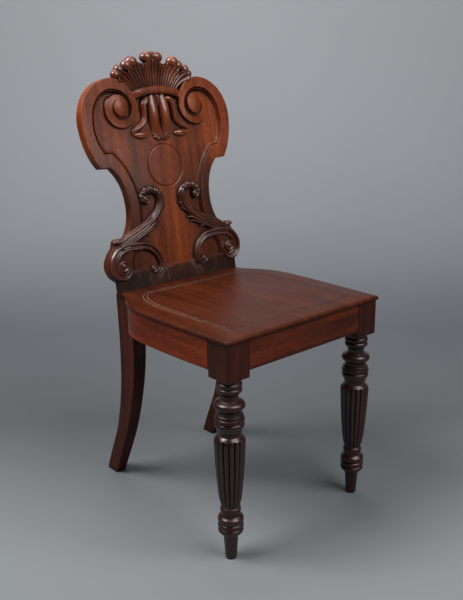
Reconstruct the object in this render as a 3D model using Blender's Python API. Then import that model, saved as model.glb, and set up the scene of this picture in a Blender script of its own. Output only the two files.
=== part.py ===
# Carved mahogany hall chair, about 1835
# Metres, +Z up, the front faces -Y, origin under the middle of the chair on the floor

import math

import bmesh
import bpy
import numpy as np
from mathutils import Matrix, Vector

# Overall sizes
overall_depth = 0.483
seat_height = 0.445
seat_depth = 0.3807
seat_half_width = 0.209
seat_thickness = 0.010
joint_gap = 0.0003
cut_overrun = 0.004
bury = 0.001

# Seat edge and scribed lines
seat_overhang = 0.003
edge_round = 0.0035
edge_lip = 0.0012
edge_underside = 0.0015
seat_plan_steps = 2
seat_plan_fine_steps = 6
panel_line_steps = 3
scribe_width = 0.0018
scribe_depth = 0.0008
scribe_spacing = 0.008

# Seat frame
rail_thickness = 0.020
rail_height = 0.0557
rail_setback = 0.001
back_rail_thickness = 0.028
back_rail_lead = 0.0037
tenon_thickness = 0.008
tenon_height = 0.038
tenon_length = 0.022
short_tenon_length = 0.014
straight_rail_rows = 6
curved_rail_rows = 9

# Front legs
leg_block_side = 0.0525
leg_block_drop = 0.013
block_arris = 0.0015
reed_count = 16
turned_sides = 24
points_per_reed = 3
reed_depth = 0.0016
reed_top_height = 0.252
reed_bottom_height = 0.1135
peg_height = 0.048
peg_radius = 0.0138
largest_ring_radius = 0.0292

# Rear legs
rear_leg_outer_share = 0.7464
rear_leg_width = 0.034
rear_foot_width = 0.024
rear_leg_front = 0.354
rear_leg_run = 0.129
rear_leg_arris = 0.0015
leg_steps = 2
rear_taper_share = 0.8

# Back board
rake = math.radians(9.77)
back_height = 0.486
ear_half_width = 0.194
plinth_height = 0.037
board_thickness = 0.019
ground_depth = 0.0045
upper_ground_depth = 0.0085
volute_radius = 0.041
eye_radius = 0.017
eye_height = 0.005
bead_offset = 0.0042
bead_half_width = 0.0034
bead_height = 0.0035
bead_full_share = 0.25
bead_end_share = 0.25
bead_lower_places = 8
bead_spiral_places = 14
roundel_radius = 0.047
roundel_groove = 0.004
roundel_groove_depth = 0.0015

# Cresting
crest_block_depth = 0.008
crest_back_setback = 0.001
fan_half_angle = math.radians(59)
fan_foot_inset = 0.0036
fan_foot_fall = 0.006
fan_reeds = 21
points_per_fan_reed = 3
fan_reed_height = 0.0026
fan_lift = 0.005
tip_radial = 0.0122
tip_half_depth = 0.0085
band_half_width = 0.0068
band_front = 0.0020

# Carvings planted on the board
carving_proud = 0.0055
leaf_proud = 0.0060
leaflet_proud = 0.0035
curl_proud = 0.0065
scroll_eye_radius = 0.0105
scroll_eye_proud = 0.0055
curl_eye_radius = 0.0100
curl_eye_proud = 0.0045
small_eye_radius = 0.0075
knob_length = 0.015
knob_width = 0.0062
pendant_proud = 0.0050
tendril_proud = 0.0045
bud_proud = -0.0020

# Hidden blocks, dowels and screws
corner_block_height = 0.030
front_block_reach = 0.047
rear_block_reach = 0.046
rear_block_forward = 0.036
glue_block_side = 0.014
glue_block_length = 0.045
dowel_radius = 0.004
dowel_length = 0.044
dowel_place_shares = (-1.0, -0.33, 0.33, 1.0)
crest_dowel_radius = 0.003
crest_dowel_length = 0.024
crest_dowel_spread = 0.030
screw_radius = 0.002
screw_head_radius = 0.004
screw_head_height = 0.0025
screw_bite = 0.006
round_sides = 16
small_sides = 12
pin_sides = 8
carving_steps = 2
sharp_angle = math.radians(35)
mitre_limit_share = 0.35

# Colours as linear red, green and blue
polished_mahogany_colour = (0.135, 0.034, 0.014)
dark_mahogany_colour = (0.060, 0.022, 0.014)
bare_wood_colour = (0.33, 0.21, 0.12)
steel_colour = (0.30, 0.29, 0.28)
polish_roughness = 0.28
dark_polish_roughness = 0.30
bare_wood_roughness = 0.75
steel_roughness = 0.42

# Places along the seat side, as shares of the half width and the depth
seat_side_shares = [
    (0.976, 0.000), (0.986, 0.158), (0.998, 0.394), (1.000, 0.578), (0.993, 0.688), (0.967, 0.767),
    (0.919, 0.835), (0.856, 0.890), (0.799, 0.935), (0.773, 0.967),
]
panel_side_shares = [
    (0.770, 0.097), (0.780, 0.263), (0.792, 0.473), (0.794, 0.630), (0.785, 0.704), (0.751, 0.788),
    (0.679, 0.862), (0.565, 0.904),
]

# Places on the back, as shares of the ear half width or the back height, and the carving width as a
# share of the mean of the two
volute_x_share = 0.4948
volute_rise_share = 0.7654
roundel_rise_share = 0.5123
ground_fall_start_share = 0.5864
ground_fall_end_share = 0.8230
crest_seat_share = 0.8169
fan_origin_share = 0.7572
fan_foot_share = 0.8374
carving_width_share = 0.1335

# Outline of the back, as shares of the ear half width and the back height
foot_scroll_shares = [
    (0.825, 0.041), (0.861, 0.051), (0.902, 0.068), (0.930, 0.091), (0.938, 0.115), (0.920, 0.142),
    (0.881, 0.167), (0.830, 0.189),
]
knob_outline_shares = [(0.825, 0.204), (0.804, 0.218), (0.758, 0.225), (0.706, 0.224), (0.670, 0.220)]
neck_shares = [
    (0.670, 0.220), (0.608, 0.261), (0.575, 0.302), (0.562, 0.340), (0.564, 0.379), (0.577, 0.416),
    (0.608, 0.455), (0.660, 0.492), (0.722, 0.521),
]
ear_shares = [
    (0.851, 0.523), (0.897, 0.549), (0.938, 0.584), (0.972, 0.626), (0.992, 0.669), (1.000, 0.712),
    (0.988, 0.753), (0.953, 0.794), (0.896, 0.830), (0.820, 0.859), (0.729, 0.880), (0.629, 0.891),
    (0.557, 0.892), (0.474, 0.885), (0.402, 0.869), (0.343, 0.844), (0.302, 0.813),
]
panel_lower_shares = [
    (0.635, 0.076), (0.620, 0.125), (0.570, 0.175), (0.510, 0.216), (0.466, 0.257), (0.443, 0.294),
    (0.433, 0.333), (0.438, 0.372), (0.454, 0.412), (0.485, 0.457), (0.531, 0.500), (0.598, 0.543),
    (0.680, 0.579),
]
panel_upper_shares = [(0.778, 0.583), (0.825, 0.617), (0.856, 0.658), (0.869, 0.695)]

# Volute edges: angle in degrees, then the radius as a share of the volute radius
volute_outer_shares = [
    (180, 1.00), (225, 0.95), (270, 0.97), (315, 0.97), (350, 0.92), (387, 0.80), (417, 0.73), (450, 0.66),
]
volute_inner_shares = [
    (-8, 1.71), (9, 1.54), (27, 1.37), (47, 1.21), (68, 1.04), (90, 0.90), (122, 0.76), (152, 0.69),
    (184, 0.66), (213, 0.65), (238, 0.634), (268, 0.61), (298, 0.60), (329, 0.568), (360, 0.537),
    (390, 0.50), (420, 0.475),
]

# Turned front leg, height and radius as shares of the leg height and the largest ring radius
upper_turning_shares = [
    (0.835, 0.85), (0.825, 0.85), (0.820, 0.81), (0.812, 0.83), (0.801, 0.77), (0.794, 0.82),
    (0.785, 0.81), (0.774, 0.65), (0.757, 0.57), (0.746, 0.62), (0.740, 0.88), (0.725, 1.00),
    (0.706, 0.90), (0.696, 0.74), (0.690, 0.72), (0.682, 0.88), (0.667, 0.97), (0.653, 0.91),
    (0.640, 0.95), (0.624, 0.86), (0.610, 0.72), (0.592, 0.76),
]
reed_body_shares = [
    (1.00, 0.88), (0.96, 0.99), (0.82, 0.985), (0.50, 0.93), (0.16, 0.80), (0.03, 0.69), (0.00, 0.60),
]
lower_turning_shares = [
    (0.252, 0.60), (0.238, 0.67), (0.216, 0.61), (0.210, 0.65), (0.203, 0.82), (0.192, 0.84),
    (0.178, 0.77), (0.170, 0.83), (0.162, 0.83), (0.154, 0.77), (0.146, 0.83), (0.135, 0.81),
    (0.126, 0.72), (0.117, 0.52),
]

# Rear leg side view: height share, front and back edges as shares of the sweep
rear_leg_shares = [
    (1.000, 0.000, 0.426), (0.820, 0.000, 0.395), (0.690, 0.003, 0.395), (0.575, 0.043, 0.411),
    (0.476, 0.109, 0.450), (0.382, 0.186, 0.512), (0.265, 0.314, 0.620), (0.154, 0.473, 0.783),
    (0.069, 0.601, 0.907), (0.000, 0.705, 1.000),
]

# Fan of the crest: lobe middle and half angle in degrees, reach as a share of the back height
fan_lobe_shares = [(0.0, 17.8, 0.210), (30.6, 12.8, 0.224), (51.2, 7.8, 0.240)]
fan_row_shares = (0.0, 0.5, 1.0)
fan_dip_share = 0.88
fan_flare_share = 0.45
fan_rise_share = 0.5
# Rolled tips: angle in degrees, reach and half length as shares of the back height, then the depth
# below the face as a share of the board thickness
tip_place_shares = [(0.0, 0.2188, 0.0567, 0.36), (31.8, 0.2257, 0.0431, 0.22), (49.4, 0.2411, 0.0319, 0.42)]

# Cross-sections: across as a share of the half width, rise as a share of the height
round_section_shares = [(-1.0, 0.0), (-0.72, 0.70), (0.0, 1.0), (0.72, 0.70), (1.0, 0.0)]
hollow_section_shares = [(-1.0, 0.0), (-0.82, 1.0), (0.0, 0.62), (0.82, 1.0), (1.0, 0.0)]
flat_section_shares = [(-1.0, 0.0), (-0.7, 1.0), (0.7, 1.0), (1.0, 0.0)]

# Carved strokes: place as shares of the ear half width and the back height, half width as a share
# of the carving width
c_scroll_shares = [
    (0.709, 0.129, 0.08), (0.673, 0.117, 0.09), (0.665, 0.097, 0.11), (0.683, 0.077, 0.14),
    (0.722, 0.063, 0.19), (0.773, 0.062, 0.24), (0.825, 0.073, 0.27), (0.858, 0.099, 0.30),
    (0.850, 0.132, 0.29), (0.804, 0.160, 0.26), (0.737, 0.177, 0.25), (0.649, 0.182, 0.23),
    (0.546, 0.181, 0.22), (0.433, 0.177, 0.21), (0.340, 0.158, 0.20), (0.278, 0.128, 0.18),
    (0.250, 0.095, 0.16), (0.263, 0.070, 0.14), (0.304, 0.057, 0.11), (0.345, 0.058, 0.09),
]
leaf_shares = [
    (0.814, 0.173, 0.12), (0.758, 0.200, 0.20), (0.624, 0.224, 0.25), (0.485, 0.245, 0.27),
    (0.340, 0.270, 0.26), (0.216, 0.302, 0.20), (0.134, 0.329, 0.12), (0.093, 0.346, 0.03),
]
leaflet_shares = [
    [(0.505, 0.226, 0.14), (0.330, 0.250, 0.18), (0.237, 0.263, 0.14), (0.170, 0.270, 0.03)],
    [(0.567, 0.214, 0.14), (0.433, 0.229, 0.18), (0.320, 0.240, 0.14), (0.232, 0.248, 0.03)],
    [(0.670, 0.200, 0.14), (0.536, 0.211, 0.18), (0.433, 0.217, 0.13), (0.346, 0.216, 0.03)],
    [(0.732, 0.189, 0.12), (0.629, 0.201, 0.15), (0.557, 0.203, 0.10), (0.495, 0.198, 0.03)],
]
curl_shares = [
    (0.361, 0.259, 0.12), (0.268, 0.288, 0.19), (0.196, 0.321, 0.23), (0.154, 0.354, 0.25),
    (0.152, 0.383, 0.24), (0.201, 0.406, 0.22), (0.278, 0.415, 0.21), (0.348, 0.408, 0.18),
    (0.390, 0.392, 0.14), (0.392, 0.375, 0.10), (0.361, 0.364, 0.07),
]
scroll_eye_shares = (0.742, 0.106)
curl_eye_shares = (0.338, 0.369)
small_eye_shares = (0.358, 0.066)
knob_shares = (0.778, 0.211)

# Boss of a carved eye: drop from its top and radius, as shares of the radius
dome_profile_shares = [(0.333, 1.0), (0.125, 0.75), (0.0, 0.333)]

# Pendant strokes: place, half width as above, then height as a share of the pendant height
pendant_lobe_shares = [
    (0.080, 0.806, 0.30, 0.2), (0.081, 0.778, 0.39, 0.9), (0.083, 0.725, 0.41, 1.0),
    (0.082, 0.681, 0.39, 0.2), (0.066, 0.652, 0.30, -0.7),
]
pleat_shares = [(0.0, 0.808, 0.22, 0.4), (0.0, 0.786, 0.12, 0.4), (0.0, 0.770, 0.04, 0.0)]
tendril_shares = [
    (0.110, 0.790, 0.15, 0.4), (0.170, 0.796, 0.17, 0.8), (0.203, 0.770, 0.17, 1.0),
    (0.199, 0.733, 0.18, 1.0), (0.240, 0.702, 0.20, 1.0), (0.325, 0.682, 0.21, 0.8),
    (0.376, 0.667, 0.15, 0.2), (0.362, 0.651, 0.10, -0.5),
]
bud_shares = (0.273, 0.649)
bud_length_share = 0.098
bud_width_share = 0.2195
fold_shares = (0.057, 0.640)
fold_length_share = 0.0593
fold_width_share = 0.1951

plinth_half_width = ear_half_width * foot_scroll_shares[0][0]
volute_x = ear_half_width * volute_x_share
volute_rise = back_height * volute_rise_share
roundel_rise = back_height * roundel_rise_share
ground_fall_start = back_height * ground_fall_start_share
ground_fall_end = back_height * ground_fall_end_share
crest_seat_rise = back_height * crest_seat_share
fan_origin_rise = back_height * fan_origin_share
fan_foot_rise = back_height * fan_foot_share
band_half_span = ear_half_width * ear_shares[-1][0]
fan_foot_half_width = band_half_span - fan_foot_inset
carving_width = carving_width_share * math.sqrt(ear_half_width * back_height)
bud_length = ear_half_width * bud_length_share
fold_length = ear_half_width * fold_length_share
bud_width = carving_width * bud_width_share
fold_width = carving_width * fold_width_share

front_y = -overall_depth / 2
back_y = front_y + seat_depth + joint_gap
support_height = seat_height - seat_thickness
frame_top = support_height - joint_gap
rail_bottom = frame_top - rail_height
ground = -ground_depth
base = ground + joint_gap
upper_base = joint_gap - upper_ground_depth
board_bottom = -seat_thickness / math.cos(rake)
leg_outer = seat_half_width * seat_side_shares[0][0] - seat_overhang
leg_x = leg_outer - leg_block_side / 2
leg_y = front_y + seat_overhang + leg_block_side / 2
rear_leg_outer = seat_half_width * rear_leg_outer_share
rear_front_y = front_y + rear_leg_front
back_rail_front = back_y - joint_gap - back_rail_lead


# Start from an empty scene
def clear_scene():
    for item in list(bpy.data.objects):
        bpy.data.objects.remove(item, do_unlink=True)


# One material for each sub-part, from its colour, roughness and metallic value
def finish(item, name, colour, roughness, metallic):
    material = bpy.data.materials.new(name)
    material.use_nodes = True
    shader = material.node_tree.nodes["Principled BSDF"]
    shader.inputs["Base Color"].default_value = (*colour, 1.0)
    shader.inputs["Roughness"].default_value = roughness
    shader.inputs["Metallic"].default_value = metallic
    material.diffuse_color = (*colour, 1.0)
    item.data.materials.clear()
    item.data.materials.append(material)
    return item


def polished_mahogany(item):
    return finish(item, item.name + "_polish", polished_mahogany_colour, polish_roughness, 0.0)


def dark_mahogany(item):
    return finish(item, item.name + "_polish", dark_mahogany_colour, dark_polish_roughness, 0.0)


def bare_wood(item):
    return finish(item, item.name + "_wood", bare_wood_colour, bare_wood_roughness, 0.0)


def steel(item):
    return finish(item, item.name + "_steel", steel_colour, steel_roughness, 1.0)


# An object from a closed bmesh, faces turned outwards
def make_object(name, mesh_data):
    bmesh.ops.recalc_face_normals(mesh_data, faces=mesh_data.faces)
    mesh = bpy.data.meshes.new(name)
    mesh_data.to_mesh(mesh)
    mesh_data.free()
    item = bpy.data.objects.new(name, mesh)
    bpy.context.collection.objects.link(item)
    return item


# Loops of equal length joined side by side and capped at both ends
def loop_solid(name, loops):
    mesh_data = bmesh.new()
    rows = [[mesh_data.verts.new(Vector(point)) for point in loop] for loop in loops]
    for lower, upper in zip(rows, rows[1:]):
        for index in range(len(lower)):
            after = (index + 1) % len(lower)
            mesh_data.faces.new((lower[index], lower[after], upper[after], upper[index]))
    mesh_data.faces.new(rows[0])
    mesh_data.faces.new(list(reversed(rows[-1])))
    return make_object(name, mesh_data)


def prism(name, outline, low, high):
    return loop_solid(name, [[(x, y, level) for x, y in outline] for level in (low, high)])


def box(name, low, high):
    corners = [(low[0], low[1]), (high[0], low[1]), (high[0], high[1]), (low[0], high[1])]
    return prism(name, corners, low[2], high[2])


# A turned solid about the vertical through (x, y), from (height, radius) pairs
def lathe(name, centre, profile, sides):
    loops = []
    for height, radius in profile:
        turn = [2 * math.pi * step / sides for step in range(sides)]
        loops.append([(centre[0] + radius * math.cos(angle), centre[1] + radius * math.sin(angle), height)
                      for angle in turn])
    return loop_solid(name, loops)


def ellipsoid(name, centre, half_sizes, turn):
    mesh_data = bmesh.new()
    bmesh.ops.create_uvsphere(mesh_data, u_segments=small_sides, v_segments=small_sides // 2, radius=1)
    scale = Matrix.Diagonal((*half_sizes, 1.0))
    place = Matrix.Translation(Vector(centre)) @ Matrix.Rotation(turn, 4, "Z") @ scale
    bmesh.ops.transform(mesh_data, matrix=place, verts=mesh_data.verts)
    return make_object(name, mesh_data)


# Boolean step, applied, with the tool removed afterwards
def combine(item, tool, operation, crossing=False):
    step = item.modifiers.new("step", "BOOLEAN")
    step.operation = operation
    step.solver = "EXACT"
    step.use_self = crossing
    step.object = tool
    bpy.context.view_layer.update()
    result = bpy.data.meshes.new_from_object(item.evaluated_get(bpy.context.evaluated_depsgraph_get()))
    item.modifiers.clear()
    item.data = result
    bpy.data.objects.remove(tool, do_unlink=True)
    return item


def unite(item, tool):
    return combine(item, tool, "UNION")


def cut(item, tool):
    return combine(item, tool, "DIFFERENCE")


def shade_round(item):
    item.data.shade_smooth()
    item.data.set_sharp_from_angle(angle=sharp_angle)
    return item


# Smooth curve through points, with a number of steps in each span
def smooth(points, steps):
    anchors = np.array(points, dtype=float)
    padded = np.vstack([2 * anchors[0] - anchors[1], anchors, 2 * anchors[-1] - anchors[-2]])
    curve = []
    for index in range(1, len(padded) - 2):
        before, start, end, after = padded[index - 1:index + 3]
        for step in range(steps):
            t = step / steps
            curve.append(0.5 * (2 * start + (end - before) * t
                                + (2 * before - 5 * start + 4 * end - after) * t ** 2
                                + (3 * start - before - 3 * end + after) * t ** 3))
    curve.append(anchors[-1])
    return np.array(curve)


# Closed outline moved inwards by a distance, with mitred corners
def inset(outline, distance):
    points = np.array(outline, dtype=float)
    ahead = np.roll(points, -1, axis=0) - points
    ahead /= np.linalg.norm(ahead, axis=1)[:, None]
    behind = np.roll(ahead, 1, axis=0)
    area = np.sum(points[:, 0] * np.roll(points[:, 1], -1) - points[:, 1] * np.roll(points[:, 0], -1))
    side = 1.0 if area > 0 else -1.0
    normal_ahead = side * np.column_stack([-ahead[:, 1], ahead[:, 0]])
    normal_behind = side * np.column_stack([-behind[:, 1], behind[:, 0]])
    mitre = normal_ahead + normal_behind
    mitre /= np.maximum(np.sum(mitre * normal_ahead, axis=1), mitre_limit_share)[:, None]
    return points + distance * mitre


# Right half of an outline closed with its mirror image
def mirrored(half):
    right = [(float(x), float(y)) for x, y in half]
    left = [(-x, y) for x, y in reversed(right) if x > 0]
    return right + left


def scaled(shares, width, height):
    return [(x * width, y * height) for x, y in shares]


# Seat plan: right side from the front corner to the plinth corner
def seat_side(steps):
    side = scaled(seat_side_shares, seat_half_width, seat_depth)
    side.append((plinth_half_width, seat_depth))
    return [(x, front_y + y) for x, y in smooth(side, steps)]


def seat_side_x(y, distance):
    loop = inset(mirrored(seat_side(seat_plan_fine_steps)), distance)
    half = [point for point in loop if point[0] > 0]
    return float(np.interp(y, [point[1] for point in half], [point[0] for point in half]))


# Seat: moulded edge at the front and sides, scribed double line on top
def build_seat():
    plan = mirrored(seat_side(seat_plan_steps))
    rear = front_y + seat_depth

    def edge(distance, height):
        against_back = rear - (seat_height - height) * math.tan(rake)
        return [(x, against_back if abs(start[1] - rear) < joint_gap else y, height)
                for (x, y), start in zip(inset(plan, distance), plan)]

    side_points = scaled(panel_side_shares, seat_half_width, seat_depth)
    panel = smooth([(x, front_y + y) for x, y in side_points], panel_line_steps)
    picks = np.linspace(0, len(panel) - 1, len(plan) // 2)
    panel = mirrored([[np.interp(pick, range(len(panel)), panel[:, axis]) for axis in (0, 1)]
                      for pick in picks])

    def line(distance, height):
        return [(x, y, height) for x, y in inset(panel, distance)]

    top = seat_height
    loops = [
        edge(edge_underside, support_height),
        edge(0.0, support_height + edge_round),
        edge(0.0, top - edge_round),
        edge(edge_lip, top - edge_lip),
        edge(edge_round, top),
    ]
    for start in (0.0, scribe_spacing):
        loops.append(line(start - scribe_width / 2, top))
        loops.append(line(start, top - scribe_depth))
        loops.append(line(start + scribe_width / 2, top))
    return polished_mahogany(loop_solid("seat_board", loops))


# Tenon boxes, shared by the rail that carries one and the leg that takes it
def tenon_box(start, end, along_x):
    middle = (frame_top + rail_bottom) / 2
    low = [*start, middle - tenon_height / 2]
    high = [*end, middle + tenon_height / 2]
    low[1 if along_x else 0] -= tenon_thickness / 2
    high[1 if along_x else 0] += tenon_thickness / 2
    return low, high


def front_rail_tenon():
    x = leg_outer - leg_block_side
    y = front_y + seat_overhang + rail_setback + rail_thickness / 2
    return tenon_box((x - cut_overrun, y), (x + tenon_length, y), True)


def back_rail_tenon():
    x = rear_leg_outer - rear_leg_width
    y = back_rail_front + back_rail_thickness / 2
    return tenon_box((x - cut_overrun, y), (x + short_tenon_length, y), True)


def side_rail_front_tenon():
    x = leg_outer - rail_thickness / 2
    y = leg_y + leg_block_side / 2
    return tenon_box((x, y - tenon_length), (x, y + cut_overrun), False)


def side_rail_rear_tenon():
    x = rear_leg_outer - tenon_thickness
    return tenon_box((x, rear_front_y - cut_overrun), (x, rear_front_y + tenon_length), False)


# The same box on the chosen side of the chair, grown on every face by a clearance
def sided_box(name, bounds, side, grow):
    low, high = bounds
    if side < 0:
        low, high = (-high[0], low[1], low[2]), (-low[0], high[1], high[2])
    low = [value - grow for value in low]
    high = [value + grow for value in high]
    return box(name, low, high)


def build_front_rail():
    half = leg_outer - leg_block_side - joint_gap
    y = front_y + seat_overhang + rail_setback
    rail = box("front_rail", (-half, y, rail_bottom), (half, y + rail_thickness, frame_top))
    for side in (-1, 1):
        unite(rail, sided_box("tenon", front_rail_tenon(), side, 0.0))
    return polished_mahogany(rail)


def build_back_rail():
    half = rear_leg_outer - rear_leg_width - joint_gap
    low = (-half, back_rail_front, rail_bottom)
    rail = box("back_rail", low, (half, back_rail_front + back_rail_thickness, frame_top))
    for side in (-1, 1):
        unite(rail, sided_box("tenon", back_rail_tenon(), side, 0.0))
    for x in dowel_places():
        cut(rail, back_dowel("dowel_hole", x, joint_gap))
    return dark_mahogany(rail)


# Side rail: follows the seat side at an even setback, curved in at the rear
def build_side_rail(name, side):
    start = leg_y + leg_block_side / 2 + joint_gap
    end = rear_front_y - joint_gap
    middle = (start + end) / 2
    rows = [*np.linspace(start, middle, straight_rail_rows), *np.linspace(middle, end, curved_rail_rows)[1:]]
    outer = [(side * seat_side_x(y, seat_overhang), y) for y in rows]
    inner = [(side * seat_side_x(y, seat_overhang + rail_thickness), y) for y in rows]
    rail = prism(name, outer + inner[::-1], rail_bottom, frame_top)
    unite(rail, sided_box("tenon", side_rail_front_tenon(), side, 0.0))
    unite(rail, sided_box("tenon", side_rail_rear_tenon(), side, 0.0))
    return polished_mahogany(rail)


# Front leg: square block, turned rings, reeded taper, grooved collar and peg foot
def build_front_leg(name, side):
    block_bottom = rail_bottom - leg_block_drop
    half = leg_block_side / 2
    near = half - block_arris
    section = [(near, -half), (half, -near), (half, near), (near, half),
               (-near, half), (-half, near), (-half, -near), (-near, -half)]
    leg = prism(name, section, block_bottom, frame_top)
    upper = scaled(upper_turning_shares, frame_top, largest_ring_radius)
    upper[0] = (block_bottom + cut_overrun, upper[0][1])
    lower = scaled(lower_turning_shares, frame_top, largest_ring_radius)
    lower += [(peg_height, peg_radius), (block_arris, peg_radius - block_arris / 2),
              (0.0, peg_radius - block_arris)]
    unite(leg, turned_leg("turning", upper, lower))
    leg.location = (side * leg_x, leg_y, 0.0)
    cut(leg, sided_box("mortise", front_rail_tenon(), side, joint_gap))
    cut(leg, sided_box("mortise", side_rail_front_tenon(), side, joint_gap))
    return dark_mahogany(shade_round(leg))


# Turned solid with a reeded stretch that has more points round than the plain rings
def turned_leg(name, upper, lower):
    mesh_data = bmesh.new()
    reed_span = reed_top_height - reed_bottom_height

    def ring(height, radius, sides, depth):
        points = []
        for step in range(sides):
            angle = 2 * math.pi * step / sides
            reach = radius - (depth if step % points_per_reed == 0 else 0.0)
            points.append(mesh_data.verts.new((reach * math.cos(angle), reach * math.sin(angle), height)))
        return points

    rings = [ring(height, radius, turned_sides, 0.0) for height, radius in upper]
    for height, radius in reed_body_shares:
        depth = reed_depth if 0.0 < height < 1.0 else 0.0
        rings.append(ring(reed_bottom_height + height * reed_span, radius * largest_ring_radius,
                          reed_count * points_per_reed, depth))
    rings += [ring(height, radius, turned_sides, 0.0) for height, radius in lower]
    for above, below in zip(rings, rings[1:]):
        join_rings(mesh_data, above, below)
    mesh_data.faces.new(rings[0])
    mesh_data.faces.new(rings[-1])
    return make_object(name, mesh_data)


# Quads between equal rings, and triangles where one ring has twice the points
def join_rings(mesh_data, above, below):
    if len(above) == len(below):
        for index in range(len(above)):
            after = (index + 1) % len(above)
            mesh_data.faces.new((above[index], above[after], below[after], below[index]))
        return
    coarse, fine = (above, below) if len(above) < len(below) else (below, above)
    for index in range(len(coarse)):
        after = (index + 1) % len(coarse)
        middle = fine[2 * index + 1]
        mesh_data.faces.new((coarse[index], fine[2 * index], middle))
        mesh_data.faces.new((coarse[index], middle, coarse[after]))
        mesh_data.faces.new((coarse[after], middle, fine[(2 * index + 2) % len(fine)]))


# Rear leg: square in section, tapered, and swept back to the foot
def build_rear_leg(name, side):
    loops = []
    for height, front, back in smooth(rear_leg_shares, leg_steps):
        width = np.interp(height, (0.0, rear_taper_share), (rear_foot_width, rear_leg_width))
        near = rear_front_y + front * rear_leg_run
        far = rear_front_y + back * rear_leg_run
        outer = rear_leg_outer
        inner = rear_leg_outer - width
        chamfer = rear_leg_arris
        section = [(outer - chamfer, near), (outer, near + chamfer), (outer, far - chamfer),
                   (outer - chamfer, far), (inner + chamfer, far), (inner, far - chamfer),
                   (inner, near + chamfer), (inner + chamfer, near)]
        loops.append([(side * x, y, height * frame_top) for x, y in section])
    leg = loop_solid(name, loops)
    cut(leg, sided_box("mortise", side_rail_rear_tenon(), side, joint_gap))
    cut(leg, sided_box("mortise", back_rail_tenon(), side, joint_gap))
    return dark_mahogany(leg)


# The back's own frame: x across, y up the raked face, z out towards the sitter
def place_on_back(item):
    item.location = (0.0, back_y, seat_height)
    item.rotation_euler = (math.pi / 2 - rake, 0.0, 0.0)
    return item


def polar(angle_degrees, radius):
    angle = math.radians(angle_degrees)
    return volute_x + radius * math.cos(angle), volute_rise + radius * math.sin(angle)


def board_shares(shares, steps):
    return [tuple(point) for point in smooth(scaled(shares, ear_half_width, back_height), steps)]


def board_outline():
    half = [(plinth_half_width, board_bottom)]
    for run in (foot_scroll_shares, knob_outline_shares[1:-1], neck_shares, ear_shares):
        half += board_shares(run, 1)
    half.append((ear_half_width * ear_shares[-1][0] / 2, (crest_seat_rise + half[-1][1]) / 2))
    half.append((bury, crest_seat_rise))
    return mirrored(half)


def volute_run(shares, steps):
    rows = smooth(shares, steps)
    return [polar(angle, radius * volute_radius) for angle, radius in rows]


# Sunk panel: plinth line, neck, notch, then in and out of the two spirals
def panel_outline():
    half = [(bury, plinth_height)]
    half += board_shares(panel_lower_shares, 1)
    half += board_shares(panel_upper_shares, 1)
    half += volute_run(volute_inner_shares, 1)
    half += volute_run(volute_outer_shares, carving_steps)[::-1]
    half.append((ear_half_width * ear_shares[-1][0] - bury, back_height * ear_shares[-1][1] + cut_overrun))
    half.append((bury, crest_seat_rise + cut_overrun + bury))
    return mirrored(half)


# Room cut for the sunk panel: level at the neck, falling away towards the crest
def panel_room(name, grow):
    outline = inset(panel_outline(), grow)
    fall = (upper_ground_depth - ground_depth) / (ground_fall_end - ground_fall_start)
    deep = [(x, y, grow + ground - fall * (y - ground_fall_start)) for x, y in outline]
    room = loop_solid(name, [deep, [(x, y, cut_overrun + bury) for x, y in outline]])
    return unite(room, prism("level", outline, ground + grow, cut_overrun))


# Bead that follows the border inside the panel and tapers into the spiral
def bead_solid(name, side, grow):
    start = len(panel_lower_shares) - bead_lower_places
    run = board_shares(panel_lower_shares[start:], 1) + board_shares(panel_upper_shares, 1)
    run += volute_run(volute_inner_shares[:bead_spiral_places], 1)
    points = np.array(run)
    ahead = np.gradient(points, axis=0)
    ahead /= np.linalg.norm(ahead, axis=1)[:, None]
    points += bead_offset * np.column_stack([-ahead[:, 1], ahead[:, 0]])
    taper = np.minimum(1.0, np.linspace(len(points) * bead_full_share, bead_end_share, len(points)))
    low = -upper_ground_depth - bury
    return stroke(name, points, bead_half_width * taper + grow, flat_section_shares, low,
                  ground + bead_height * taper + grow, side)


# A ridge of the given cross-section swept along a path over the board
def stroke(name, path, half_widths, section, low, tops, side):
    points = np.array(path, dtype=float)
    ahead = np.gradient(points, axis=0)
    ahead /= np.linalg.norm(ahead, axis=1)[:, None]
    across = np.column_stack([-ahead[:, 1], ahead[:, 0]])
    loops = []
    for point, turn, width, top in zip(points, across, half_widths, tops):
        loops.append([(side * (point[0] + share * width * turn[0]), point[1] + share * width * turn[1],
                       low + rise * (top - low)) for share, rise in section])
    return loop_solid(name, loops)


# The same from table rows of place and half width, with an optional height
def carved_stroke(name, rows, steps, section, low, proud, side):
    sizes = (ear_half_width, back_height, carving_width, proud)
    path = smooth([[share * size for share, size in zip(row, sizes)] for row in rows], steps)
    if len(rows[0]) == len(sizes):
        tops = path[:, -1]
    else:
        tops = low + (proud - low) * np.minimum(1.0, 2 * path[:, 2] / (proud - low))
    return stroke(name, path[:, :2], path[:, 2], section, low, tops, side)


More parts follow.
